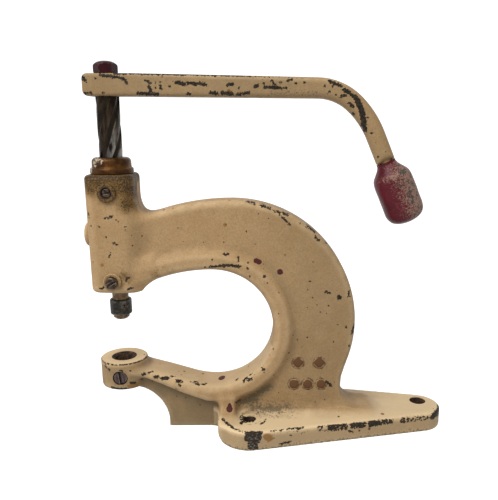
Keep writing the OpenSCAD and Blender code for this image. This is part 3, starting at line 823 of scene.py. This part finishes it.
    # the bores: centre, radius, and the heights between which they are dark
    bores = [unit((5.0 - np.hypot(u, z - CLAMP_Z)) / 0.4) * (y < -4)]
    for (cu, cy), radius, bottom, brink in (((0, 0), 8.0, 20, 49.2), ((EAR_U, -EAR_Y), 4.1, -1, 11.9),
                                        ((EAR_U, EAR_Y), 4.1, -1, 11.9), (TAIL_HOLE, 5.7, -1, 12.0),
                                        ((0, 0), 8.7, 97.2, 169), ((0, 0), 11.3, 140, 169)):
        away = np.hypot(u - cu, y - cy)
        high = unit((brink - z) / 0.5) * (z > bottom)
        bores.append(unit((radius + 0.4 - away) / 0.4) * high)
    set_attribute(obj, "bore", most(*bores))


def lever_wear(obj):
    p = points_of(obj)
    u, y, z = p.T
    chip = inside(p, FRONT, -8, [
        (2.6, -12, 226, -10, 224), (2.4, -1, 227, 8, 226), (2.2, 9, 226, 13, 224.5, 14, 222.5),
        (1.3, -4, 225), (1.8, 25, 224, 28, 222.5), (2.6, 27, 220.5, 27.5, 218.5), (1.6, 31, 223),
        (1.6, 33.5, 223), (2.1, 33.5, 221, 34, 219.5), (1.4, 31, 220), (2.2, 20, 217, 32, 216.3),
        (1.8, -11, 217, -7, 217), (1.6, 0, 217), (1.7, 39, 221), (2.6, 43, 223, 48, 222),
        (2.6, 50, 222.5, 60, 222), (1.7, 49, 216.5, 51, 216.3), (2.6, 73, 221.5, 76, 222), (1.8, 80, 220),
        (2.6, 63, 217, 67, 216.8), (2.8, 70, 217, 76, 216.6), (2.2, 78, 216, 86, 217.5),
        (2.4, 89, 221, 91, 221.5), (1.8, 94, 222.5), (2.6, 95, 220.5, 104, 220),
        (1.7, 99, 224, 101, 221.5), (1.6, 105, 220, 108, 220), (1.9, 104, 223), (2.0, 113, 222.5),
        (2.1, 118, 223), (1.6, 108, 224, 111, 225), (1.7, 130, 221), (1.8, 135, 221), (2.0, 133, 217.5),
        (1.7, 137, 216)], 9.0)
    elbow = inside(p, FRONT, -6, [
        (2.6, 133, 224, 140, 221), (3.2, 142, 219, 149, 214.5), (4.4, 150, 213, 153, 206),
        (4.2, 153, 206, 154.5, 199), (3.0, 154.5, 199, 155.5, 196), (2.2, 140, 215, 142, 216),
        (2.4, 145, 211.5, 147, 209.5), (2.1, 148, 205.5), (1.4, 156.5, 203), (1.5, 159, 194),
        (1.3, 164, 180)], 8.0)
    ridge = inside(p, FRONT, -8, [(1.9, 7, 227.9, 14, 227.8), (1.4, 16, 227.9, 40, 227.5),
                                  (1.8, 40, 227.6, 90, 226.9), (1.5, 90, 226.9, 126, 226.2)], 2.2)
    set_attribute(obj, "chip", most(chip, elbow, ridge))
    # darker along the lever's lower edge before the elbow
    set_attribute(obj, "grime_and_shade", 0.45 * near(p, FRONT, -7, [(5, 98, 217, 125, 217)], 8.0))
    # darkens the lever, less on its drop
    set_attribute(obj, "soil_and_shade", np.interp(u, [110, 150], [0.40, 0.22]))
    # the edge value drives chips and the paint's painted edge highlight: stronger on the upper edges,
    # fading towards the lever's ends
    along = np.clip((u + 5) / 30, 0.4, 1) * unit((172 - u) / 25)
    top = np.clip((z - 219) / 4, 0.35, 1)
    values = np.zeros(len(p), np.float32)
    obj.data.attributes["edge"].data.foreach_get("value", values)
    # near the elbow the corners are too round to count as edges, but they are worn all the same and carry
    # the painted edge highlight too
    side = np.abs(y)
    line = np.array([q for q, _, _ in lever_line()])
    gap = np.sqrt(((p[:, None, [0, 2]] - line[None, ::2]) ** 2).sum(2))
    over = z - line[::2][gap.argmin(1)][:, 1]
    ridge = unit(1 - np.abs(over - 4.6) / 1.8) * unit((side - 1.5) / 2.5)
    set_attribute(obj, "edge", unit(np.maximum(values, ridge * (u > 60) * 0.9) * along * top))


def knob_wear(obj):
    p = points_of(obj)
    middle = TIP + 20 * DOWN
    # paler towards the upper right and on the shoulder: partly wear, partly painted light on the knob's lit
    # right side
    right = np.array([0.92, -0.30, 0.39])
    away = (p - np.array([middle[0], 0, middle[1]])) @ right / 12
    along = (p[:, [0, 2]] - TIP) @ DOWN
    shoulder = unit(1 - np.abs(along - 9) / 6) * unit(0.85 + 0.5 * away)
    set_attribute(obj, "worn", most(unit(0.46 + 0.66 * away), shoulder))


# ---------------------------------------------------------------- materials

class Shader:
    """Wires up one node material, with sizes given in millimetres and colours as (r, g, b)."""

    def __init__(self, name):
        self.material = bpy.data.materials.new(name)
        self.material.use_nodes = True
        self.tree = self.material.node_tree
        self.tree.nodes.clear()
        out = self.tree.nodes.new("ShaderNodeOutputMaterial")
        self.bsdf = self.tree.nodes.new("ShaderNodeBsdfPrincipled")
        self.tree.links.new(self.bsdf.outputs[0], out.inputs["Surface"])
        self.where = self.tree.nodes.new("ShaderNodeTexCoord").outputs["Object"]

    def put(self, socket, value):
        if isinstance(value, bpy.types.NodeSocket):
            self.tree.links.new(value, socket)
        else:
            socket.default_value = (*value, 1.0) if isinstance(value, tuple) else value

    def math(self, operation, a, b=0.0):
        node = self.tree.nodes.new("ShaderNodeMath")
        node.operation = operation
        self.put(node.inputs[0], a)
        self.put(node.inputs[1], b)
        return node.outputs[0]

    def add(self, a, b):
        return self.math("ADD", a, b)

    def less(self, a, b):
        return self.math("SUBTRACT", a, b)

    def times(self, a, b):
        return self.math("MULTIPLY", a, b)

    def ragged(self, value, noise, share):
        """A value with noise added, for patches with uneven outlines."""
        return self.add(value, self.times(self.less(noise, 0.5), share))

    def patch(self, name, noise, share, lo, hi, most=1.0):
        """Where a wear attribute is high, with an uneven outline."""
        return self.ramp(self.ragged(self.attribute(name), noise, share), lo, hi, 0.0, most)

    def noise(self, size, detail=3.0, rough=0.55, warp=0.0, stretch=None):
        node = self.tree.nodes.new("ShaderNodeTexNoise")
        node.inputs["Scale"].default_value = 1000.0 / size
        node.inputs["Detail"].default_value = detail
        node.inputs["Roughness"].default_value = rough
        node.inputs["Distortion"].default_value = warp
        where = self.where
        if stretch:
            turn = self.tree.nodes.new("ShaderNodeMapping")
            turn.inputs["Scale"].default_value = stretch
            self.put(turn.inputs["Vector"], where)
            where = turn.outputs[0]
        self.put(node.inputs["Vector"], where)
        return node.outputs["Fac"]

    def specks(self, cell, share, size):
        """Small separate dots, in about that share of the cells."""
        node = self.tree.nodes.new("ShaderNodeTexVoronoi")
        node.inputs["Scale"].default_value = 1000.0 / cell
        self.put(node.inputs["Vector"], self.where)
        pick = self.tree.nodes.new("ShaderNodeSeparateColor")
        self.put(pick.inputs[0], node.outputs["Color"])
        radius = self.times(self.less(pick.outputs[0], 1 - share), size / cell / share)
        ragged = self.ragged(node.outputs["Distance"], self.noise(cell / 6), 0.15)
        return self.ramp(self.less(radius, ragged), 0.0, 0.04)

    def ramp(self, value, lo, hi, out_lo=0.0, out_hi=1.0):
        node = self.tree.nodes.new("ShaderNodeMapRange")
        node.interpolation_type = "SMOOTHSTEP"
        for i, v in enumerate((value, lo, hi, out_lo, out_hi)):
            self.put(node.inputs[i], v)
        return node.outputs[0]

    def mix(self, share, a, b):
        node = self.tree.nodes.new("ShaderNodeMix")
        node.data_type = "RGBA"
        self.put(node.inputs[0], share)
        self.put(node.inputs[6], a)
        self.put(node.inputs[7], b)
        return node.outputs[2]

    def attribute(self, name):
        node = self.tree.nodes.new("ShaderNodeAttribute")
        node.attribute_name = name
        return node.outputs["Fac"]

    def bump(self, height, distance, strength, under=None):
        node = self.tree.nodes.new("ShaderNodeBump")
        node.inputs["Strength"].default_value = strength
        node.inputs["Distance"].default_value = distance * MM
        self.put(node.inputs["Height"], height)
        if under is not None:
            self.put(node.inputs["Normal"], under)
        return node.outputs[0]

    def finish(self, colour, rough, metal=0.0, normal=None, specular=0.5):
        self.put(self.bsdf.inputs["Base Color"], colour)
        self.put(self.bsdf.inputs["Roughness"], rough)
        self.put(self.bsdf.inputs["Metallic"], metal)
        self.bsdf.inputs["Specular IOR Level"].default_value = specular
        if normal is not None:
            self.put(self.bsdf.inputs["Normal"], normal)
        return self.material


def painted(name, edge_chips=0.9, chip_grain=1.5, dirt=0.0):
    """Old cream enamel on iron: mottled, grimy in the hollows and chipped to dark metal."""
    s = Shader(name)
    edge, fine = s.attribute("edge"), s.noise(1.6, 4, 0.65)
    # painted highlight: the paint made lighter along its rounded edges, broken up by noise
    edge_highlight = s.times(s.ramp(edge, 0.15, 0.9, 0, 0.62), s.ramp(s.noise(5, 3), 0.32, 0.62, 0.4, 1))
    # soil and painted shade: darker towards the web's right, under the arm, round the cup and in the valley
    # below the rim
    soil_and_shade = s.times(s.attribute("soil_and_shade"), s.ramp(s.noise(14, 4), 0.20, 0.60, 0.5, 1))
    # grime and painted shade: the paint darkened in concave places
    hollow = s.times(s.attribute("hollow"), s.ramp(s.noise(7, 4), 0.30, 0.62, 0, 0.60))
    # dark grit, turning solid as painted shade where the mask is high: the valley under the rim and the
    # base's bottom edge
    grit_and_shade = s.add(s.times(s.attribute("grime_and_shade"), 0.42), s.noise(1.3, 3, 0.6))
    black_grit = s.add(s.times(s.attribute("oil"), 0.34), s.noise(0.75, 2))
    paint = s.mix(s.ramp(s.noise(38, 3), 0.35, 0.65), (0.310, 0.192, 0.085), (0.345, 0.220, 0.103))
    for cover, colour in (
            # the paint's own mottling, and a painted highlight along its rounded edges
            (s.ramp(s.noise(9, 3), 0.45, 0.75, 0, 0.5), (0.385, 0.258, 0.130)),
            (s.ramp(s.noise(0.9, 2), 0.36, 0.64, 0.24, 0), (0.130, 0.080, 0.036)),
            (s.ramp(fine, 0.55, 0.70, 0, 0.30 + dirt), (0.150, 0.095, 0.045)),
            (edge_highlight, (0.460, 0.325, 0.180)),
            # soil and painted shade over wide areas, painted light paling the up-facing paint, grime and
            # painted shade in the hollows, and grit with painted shade in the valleys
            (soil_and_shade, (0.122, 0.091, 0.049)),
            (s.attribute("pale"), (0.600, 0.460, 0.275)),
            (hollow, (0.125, 0.083, 0.042)),
            (s.ramp(grit_and_shade, 0.66, 0.84, 0, 0.75), (0.075, 0.058, 0.034)),
            # oil that has soaked in, with black grit in it, dried oil and rust
            (s.patch("oil", s.noise(6, 4), 1.0, 0.10, 0.80, 0.90), (0.118, 0.060, 0.011)),
            (s.ramp(black_grit, 0.72, 0.84, 0, 0.85), (0.022, 0.013, 0.005)),
            (s.patch("crust", s.noise(2.2, 3), 0.9, 0.40, 0.75, 0.88), (0.034, 0.018, 0.007)),
            (s.patch("rust", s.noise(2.5, 3), 1.1, 0.30, 0.70, 0.85), (0.190, 0.085, 0.016)),
            (s.specks(3.1, 0.16, 0.62), (0.065, 0.040, 0.018)),
            (s.specks(6.5, 0.30, 1.1), (0.085, 0.040, 0.015)),
            (s.specks(11.0, 0.25, 1.6), (0.150, 0.065, 0.014)),
            # brown wear on the raised marks, and drops of maroon paint
            (s.patch("marks", s.noise(1.6, 3), 1.0, 0.30, 0.52, 0.92), (0.082, 0.031, 0.009)),
            (s.patch("maroon", s.noise(2.2, 2), 0.35, 0.42, 0.50), (0.055, 0.012, 0.010))):
        paint = s.mix(cover, paint, colour)
    # bores and hollow ends, black with old grease
    grease = s.mix(s.ramp(s.noise(3, 3), 0.4, 0.65), (0.022, 0.014, 0.009), (0.075, 0.040, 0.024))
    paint = s.mix(s.patch("bore", s.noise(1.6, 3), 0.8, 0.35, 0.60), paint, grease)
    # chips: clustered along the edges and where they were placed, with crisp ragged outlines
    patchy = s.ramp(s.noise(11, 3, 0.6), 0.42, 0.64)
    along_edges = s.times(s.less(s.times(s.ramp(edge, 0.40, 1.0, 0, edge_chips), patchy), 1.0), 2.2)
    chip = s.math("MAXIMUM", s.attribute("chip"), along_edges)
    chip = s.ramp(s.ragged(chip, s.noise(chip_grain, 4, 0.65), 4.2), 0.0, 0.16)
    metal = s.mix(s.ramp(s.noise(1.5, 3), 0.4, 0.65), (0.008, 0.0055, 0.003), (0.032, 0.022, 0.013))
    # one patch rubbed down to bright iron
    bare = s.patch("bare", s.noise(3.0, 4), 0.9, 0.36, 0.44)
    scratch = s.noise(1.2, 4, 0.7, 0.4, stretch=(0.6, 1.0, 1.5))
    iron = s.mix(s.ramp(scratch, 0.52, 0.66), (0.030, 0.021, 0.014), (0.175, 0.165, 0.145))
    colour = s.mix(bare, s.mix(chip, paint, metal), iron)
    rough = s.add(s.ramp(s.noise(5, 3), 0.3, 0.7, 0.52, 0.70), s.times(s.attribute("bore"), 0.25))
    grain = s.bump(fine, 0.07, 0.45, s.bump(s.noise(7, 2), 0.30, 0.45))
    step = s.bump(s.less(1.0, s.math("MAXIMUM", chip, bare)), 0.16, 0.9, grain)
    return s.finish(colour, rough, s.times(bare, 0.5), step, 0.15)


def steel(name, dark, light, rough=(0.30, 0.55), metal=0.85, rust=0.0, grain=2.0, stretch=None,
          edge_light=None):
    """Old steel: two tones, worn lighter on its edges, with some rust."""
    s = Shader(name)
    colour = s.mix(s.ramp(s.noise(grain, 4, 0.6, 0.2, stretch), 0.38, 0.66), dark, light)
    if edge_light:
        worn = s.times(s.attribute("edge"), s.ramp(s.noise(grain * 1.6, 3), 0.35, 0.6))
        colour = s.mix(worn, colour, edge_light)
    if rust:
        colour = s.mix(s.ramp(s.noise(3.2, 4), 0.52, 0.68, 0, rust), colour, (0.09, 0.032, 0.010))
    roughness = s.ramp(s.noise(grain * 0.8, 3), 0.3, 0.7, *rough)
    return s.finish(colour, roughness, metal, s.bump(s.noise(grain * 0.5, 3), 0.05, 0.6))


def spindle_steel():
    """Oiled steel, with a painted highlight on its lands low down on the right."""
    s = Shader("spindle_steel")
    land, streak = s.attribute("land"), s.noise(3.0, 4, 0.6, 0.2, stretch=(1.0, 1.0, 0.25))
    colour = s.mix(s.ramp(streak, 0.36, 0.68), (0.008, 0.0045, 0.002), (0.038, 0.024, 0.013))
    where = s.tree.nodes.new("ShaderNodeSeparateXYZ")
    s.put(where.inputs[0], s.where)
    low = s.ramp(where.outputs[2], 0.205, 0.182)
    right = s.ramp(where.outputs[0], (AXIS_X - 3) * MM, (AXIS_X + 5) * MM)
    broken = s.ramp(s.noise(2.4, 4, 0.6, 0.2, (1, 1, 0.3)), 0.35, 0.6)
    # painted highlight: pale grey on the lands, low down and on the right
    land_highlight = s.times(s.times(low, right), s.times(land, broken))
    colour = s.mix(s.times(land_highlight, 0.8), colour, (0.26, 0.25, 0.225))
    colour = s.mix(s.times(s.less(1.0, land), 0.7), colour, (0.012, 0.009, 0.006))
    rough = s.ramp(streak, 0.3, 0.7, 0.24, 0.42)
    return s.finish(colour, rough, 0.82, s.bump(streak, 0.08, 0.5), 0.3)


def bronze_finish(name):
    """Bronze under old oil, with smears of the cream paint on its upper left."""
    s = Shader(name)
    brown, old_oil = (0.098, 0.039, 0.0065), (0.030, 0.014, 0.006)
    colour = s.mix(s.ramp(s.noise(5, 4, 0.6, 0.4), 0.36, 0.66), (0.034, 0.012, 0.002), brown)
    colour = s.mix(s.ramp(s.noise(9, 3), 0.48, 0.70, 0, 0.8), colour, old_oil)
    smear = s.patch("smear", s.noise(2.6, 4), 1.5, 0.56, 0.62)
    cream = s.mix(s.ramp(s.noise(1.6, 3), 0.45, 0.6), (0.37, 0.29, 0.19), (0.04, 0.025, 0.015))
    colour = s.mix(smear, colour, cream)
    rough = s.ramp(s.noise(4, 3), 0.3, 0.7, 0.36, 0.52)
    metal = s.less(0.66, s.times(smear, 0.7))
    return s.finish(colour, rough, metal, s.bump(s.noise(3, 3), 0.12, 0.5), 0.22)


def red_paint(name, deep, worn_to, wear="worn", spread=0.45, gloss=0.15):
    """Dark red lacquer, rubbed thin in places."""
    s = Shader(name)
    colour = s.mix(s.ramp(s.noise(6, 4), 0.35, 0.7), deep, tuple(c * 0.6 for c in deep))
    # where the wear value is high the lacquer turns paler; on the knob this also carries painted light on
    # its right side
    rubbed = s.ragged(s.times(s.attribute(wear), 0.9), s.noise(1.0, 5, 0.8), 2.8)
    thin = s.ramp(rubbed, spread, spread + 0.5)
    colour = s.mix(s.times(thin, 0.85), colour, worn_to)
    chips = s.ramp(s.add(s.times(s.attribute(wear), 0.30), s.noise(2.6, 5, 0.65)), 0.80, 0.84)
    colour = s.mix(chips, colour, (0.050, 0.045, 0.035))
    rough = s.ramp(thin, 0.0, 1.0, 0.36, 0.60)
    normal = s.bump(s.noise(1.6, 4), 0.10, 0.5, s.bump(s.noise(9, 2), 0.35, 0.4))
    return s.finish(colour, rough, 0.0, normal, gloss)


def dress(obj, material):
    obj.data.materials.clear()
    obj.data.materials.append(material)


# ---------------------------------------------------------------- the object

casting, fields = build_casting()
subtract(casting, [((0, 0, 0), UP, [(CUP_TOP, 0), (CUP_TOP, 8.4), (CUP_TOP, 13.9), (CUP_TOP, 14.7),
                                    (CUP_TOP - 0.5, 15.25), (CUP_TOP - 0.5, 17.5), (53, 17.5), (53, 0)])])
EAR_BORE = [(-2, 0), (-2, 4), (11.2, 4), (12.0, 4), (12.0, 7), (16, 7), (16, 0)]
subtract(casting, [
    ((0, 0, 0), UP, [(24, 0), (24, 6.4), (40, 6.4), (46.9, 6.4), (47.3, 6.55), (49.4, 8.75), (49.4, 0)]),
    ((0, 0, 0), UP, [(90, 0), (90, 8.5), (152, 8.5), (152, 11.0), (175, 11.0), (175, 0)]),
    ((EAR_U, -EAR_Y, 0), UP, EAR_BORE),
    ((EAR_U, EAR_Y, 0), UP, EAR_BORE),
    ((*TAIL_HOLE, 0), UP, [(-2, 0), (-2, 5.5), (11.3, 5.5), (14, 5.5), (14, 0)]),
])
subtract(casting, [
    ((0, 0, LOCK_Z), TO_FRONT, [(10, 0), (10, 3), (20, 3), (20, 0)]),
    ((0, 0, GUIDE_Z), TO_FRONT, [(7, 0), (7, 3), (20, 3), (20, 0)]),
    ((0, 0, CLAMP_Z), TO_FRONT, [(4, 0), (4, 4.75), (14.0, 4.75), (17, 5.6), (17, 0)]),
    ((0, 0, BOSS_Z), TO_NOSE, [(7, 0), (7, 3), (21, 3), (21, 0)]),
])
casting.data.set_sharp_from_angle(angle=math.radians(38))
build_wear(casting, fields)

spindle = build_spindle()
nut = build_nut()
set_attribute(nut, "smear", near(points_of(nut), FRONT, -9, [
    (3.3, -7.5, 178.2, -3.5, 177.4), (2.2, -9, 176, -8, 175), (2.0, -11, 173, -11, 171.5)], 8.0))
lever = build_lever()
lever_wear(lever)
knob = build_knob()
knob_wear(knob)


def lock_ring_field(x, y, z):
    return cut(rod(x, y, z, 5.7, -0.2, 1.9, 0.8), rod(x, y, z, 3.05, -3, 5, 0.1), 0.5)


def lock_screw_field(x, y, z):
    return slotted(x, y, z, 3.0, -7.3, 1.5, 0.7, 1.1, 8, 1.1, 0.5)


def guide_screw_field(x, y, z):
    head = slotted(x, y, z, 3.8, 1.0, 5.2, 0.6, 1.5, 30, 1.25)
    shank = rod(x, y, z, 3.0, -7.8, 2.0, 0.2)
    dog = rod(x, y, z, 2.0, -12.85, -7.0, 0.3)
    return np.minimum(np.minimum(head, shank), dog)


def clamp_screw_field(x, y, z):
    return slotted(x, y, z, 4.65, -7.7, 0.0, 0.9, 1.9, 96, 1.3, 0.25)


def plug_field(x, y, z):
    return slotted(x, y, z, 3.0, 12.0, 18.3, 0.5, 1.0, 75, 1.1)


def plug_place(q):
    return np.stack([-q[:, 2], q[:, 1], BOSS_Z + q[:, 0]], 1)


at_lock, at_guide = from_front(HEAD_FRONT, LOCK_Z), from_front(HEAD_FRONT, GUIDE_Z)
upper_ring, lower_ring = [
    field_piece(node + "_cast", lock_ring_field, (5.7, -0.2, 1.9), 0.25, place, node,
                slot="painted_casting", smooth_angle=None)
    for node, place in (("nut_lock_ring", at_lock), ("guide_screw_ring", at_guide))]
lock_screw = field_piece("nut_lock_screw_slotted", lock_screw_field, (3, -7.3, 1.5), 0.2, at_lock,
                         "nut_lock_screw")
guide_screw = field_piece("ram_guide_screw_slotted", guide_screw_field, (3.8, -12.85, 5.2), 0.25,
                          at_guide, "ram_guide_screw")
clamp_screw = field_piece("die_clamp_screw_slotted", clamp_screw_field, (4.65, -7.7, 0), 0.28,
                          from_front(14.4, CLAMP_Z), "die_clamp_screw", "die_clamp")
plug = field_piece("oil_plug_slotted", plug_field, (3, 12, 18.3), 0.25, plug_place, "oil_plug")

# The collar's set screw points out of the front, a little to the right
SET_TURN = math.radians(34.5)
SET_OUT = np.array([math.sin(SET_TURN), -math.cos(SET_TURN)])
SET_ACROSS = np.array([-SET_OUT[1], SET_OUT[0]])


def collar_field(x, y, z):
    ring = cut(rod(x, y, z, COLLAR_R, *COLLAR_Z, 0.9), rod(x, y, z, 5.2, 70, 100, 0.1), 0.3)
    out = x * SET_OUT[0] + y * SET_OUT[1]
    side = x * SET_ACROSS[0] + y * SET_ACROSS[1]
    return cut(ring, np.maximum(np.hypot(side, z - SET_Z) - 1.6, -out), 0.4)


def hexagon(x, y, half, turn=0.0):
    """Six flats, half away from the middle."""
    return np.max(np.broadcast_arrays(*[
        np.abs(x * math.cos(turn + k * math.pi / 3) + y * math.sin(turn + k * math.pi / 3))
        for k in range(3)]), axis=0) - half


def set_screw_field(x, y, z):
    return cut(rod(x, y, z, 1.5, 3.05, 6.4, 0.25), np.maximum(hexagon(x, y, 0.75), 5.2 - z), 0.1)


def set_place(q):
    flat = q[:, 2:3] * SET_OUT + q[:, 0:1] * SET_ACROSS
    return np.stack([flat[:, 0], flat[:, 1], SET_Z + q[:, 1]], 1)


def cap_nut_field(x, y, z):
    """A low dome nut, with its corners and its lower rim turned off."""
    r = np.hypot(x, y)
    dome = z - (7.4 - 0.02 * r * r - 0.00055 * r ** 4)
    low = np.maximum(-z, (r - 6.4 - z * 1.1) * 0.67)
    shape = -smin(-hexagon(x, y, 6.35, math.radians(42)), -dome, 0.5)
    shape = -smin(-shape, -(r - 7.35), 0.3)
    shape = -smin(-shape, -low, 0.3)
    return np.maximum(shape, -np.maximum(r - 4.02, z - 5.6))


collar = field_piece("punch_collar_ring", collar_field, (COLLAR_R, *COLLAR_Z), 0.3, as_it_is,
                     "punch_collar", "ram", "oiled_steel")
set_screw = field_piece("collar_set_screw_socket", set_screw_field, (1.5, 3.05, 6.4), 0.13, set_place,
                        "collar_set_screw", "set_screw")
cap_nut = field_piece("lever_cap_nut", cap_nut_field, (7.4, 0, 7.4), 0.3,
                      lambda q: q + np.array([0, 0, LEVER_Z + LEVER_H / 2]), "lever_nut", "spindle",
                      "red_nut", 50)

# ---------------------------------------------------------------- finishes

cream = painted("cream_enamel", 0.72)
for ring, height, amount in ((upper_ring, LOCK_Z, 0.85), (lower_ring, GUIDE_Z, 0.42)):
    q = points_of(ring)
    set_attribute(ring, "oil", np.full(len(q), amount))
    set_attribute(ring, "bore", unit(4.3 - np.hypot(q[:, 0], q[:, 2] - height)))
    set_attribute(ring, "chip", np.full(len(q), -NO_CHIP))
for piece in (casting, upper_ring, lower_ring):
    dress(piece, cream)
dress(lever, painted("cream_enamel_lever", 1.0, 1.3, 0.1))
dress(spindle, spindle_steel())
bronze = bronze_finish("oiled_bronze")
dress(nut, bronze)
lacquer = red_paint("red_lacquer", (0.080, 0.0045, 0.010), (0.245, 0.150, 0.110))
dress(knob, lacquer)
dress(cap_nut, red_paint("red_nut_lacquer", (0.029, 0.0035, 0.006), (0.074, 0.038, 0.036), "edge",
                         0.80, 0.1))
screws = steel("screw_steel", (0.016, 0.010, 0.006), (0.058, 0.042, 0.030), rust=0.6,
               edge_light=(0.15, 0.115, 0.085))
for piece in (lock_screw, guide_screw, plug, set_screw):
    dress(piece, screws)
dress(clamp_screw, steel("clamp_screw_steel", (0.022, 0.013, 0.013), (0.066, 0.045, 0.043),
                         stretch=(2.2, 1, 0.4), edge_light=(0.14, 0.105, 0.095)))
dress(collar, steel("collar_steel", (0.011, 0.0095, 0.0075), (0.038, 0.034, 0.028), (0.45, 0.65),
                    grain=1.6, edge_light=(0.14, 0.13, 0.11)))
bright = steel("ram_steel", (0.062, 0.038, 0.015), (0.150, 0.104, 0.050), metal=0.6, rust=0.5)
hardened = steel("hardened_steel", (0.20, 0.19, 0.18), (0.42, 0.41, 0.39), (0.15, 0.32))
for node, material in (("ram", bright), ("thrust_ball", hardened), ("thrust_pad", hardened),
                       ("swivel_pins", hardened), ("guide_bush", bronze), ("knob_insert", lacquer)):
    dress(NODES[node], material)

# ---------------------------------------------------------------- floor, light and camera

WHITE = (1.0, 1.0, 1.0, 1.0)
for name, corners, glow in (
        ("floor", [(-3, -3, 0), (3, -3, 0), (3, 3, 0), (-3, 3, 0)], 0.92),
        ("backdrop", [(-4, 3, 0), (4, 3, 0), (4, 3, 4), (-4, 3, 4)], 0.95)):
    sheet = link_mesh(name, corners, [(0, 1, 2, 3)])
    pale = Shader("pale_" + name)
    dress(sheet, pale.finish(pale.mix(pale.noise(400, 2), (0.30, 0.30, 0.30), (0.32, 0.32, 0.32)), 0.9))
    pale.bsdf.inputs["Emission Color"].default_value = WHITE
    pale.bsdf.inputs["Emission Strength"].default_value = glow
    sheet.visible_diffuse = False

scene = bpy.context.scene
world = bpy.data.worlds.new("studio")
world.use_nodes = True
sky = world.node_tree.nodes["Background"].inputs
sky["Color"].default_value = WHITE
sky["Strength"].default_value = 0.74
scene.world = world

KEY_AT, KEY_AIM = Vector((-0.42, -0.52, 0.92)), Vector((0.02, 0, 0.08))
key_data = bpy.data.lights.new("key", "AREA")
key_data.shape = "RECTANGLE"
key_data.size, key_data.size_y = 0.6, 0.6
key_data.energy = 11.0
key = bpy.data.objects.new("key", key_data)
key.location = KEY_AT
key.rotation_euler = (KEY_AIM - KEY_AT).to_track_quat("-Z", "Y").to_euler()
scene.collection.objects.link(key)

CAMERA_AT, YAW, PITCH = (0.01162, -0.36789, 0.19878), math.radians(0.51), math.radians(14.25)
forward = Vector((math.sin(YAW) * math.cos(PITCH), math.cos(YAW) * math.cos(PITCH), -math.sin(PITCH)))
right = Vector((math.cos(YAW), -math.sin(YAW), 0))
up = right.cross(forward)
camera_data = bpy.data.cameras.new("camera")
camera_data.sensor_width = 36.0
camera_data.lens = 42.1
camera_data.shift_x, camera_data.shift_y = -0.047, 0.047
camera_data.clip_start = 0.01
camera = bpy.data.objects.new("camera", camera_data)
camera.matrix_world = Matrix.Translation(CAMERA_AT) @ Matrix((right, up, -forward)).transposed().to_4x4()
scene.collection.objects.link(camera)
scene.camera = camera
scene.view_settings.view_transform = "Standard"
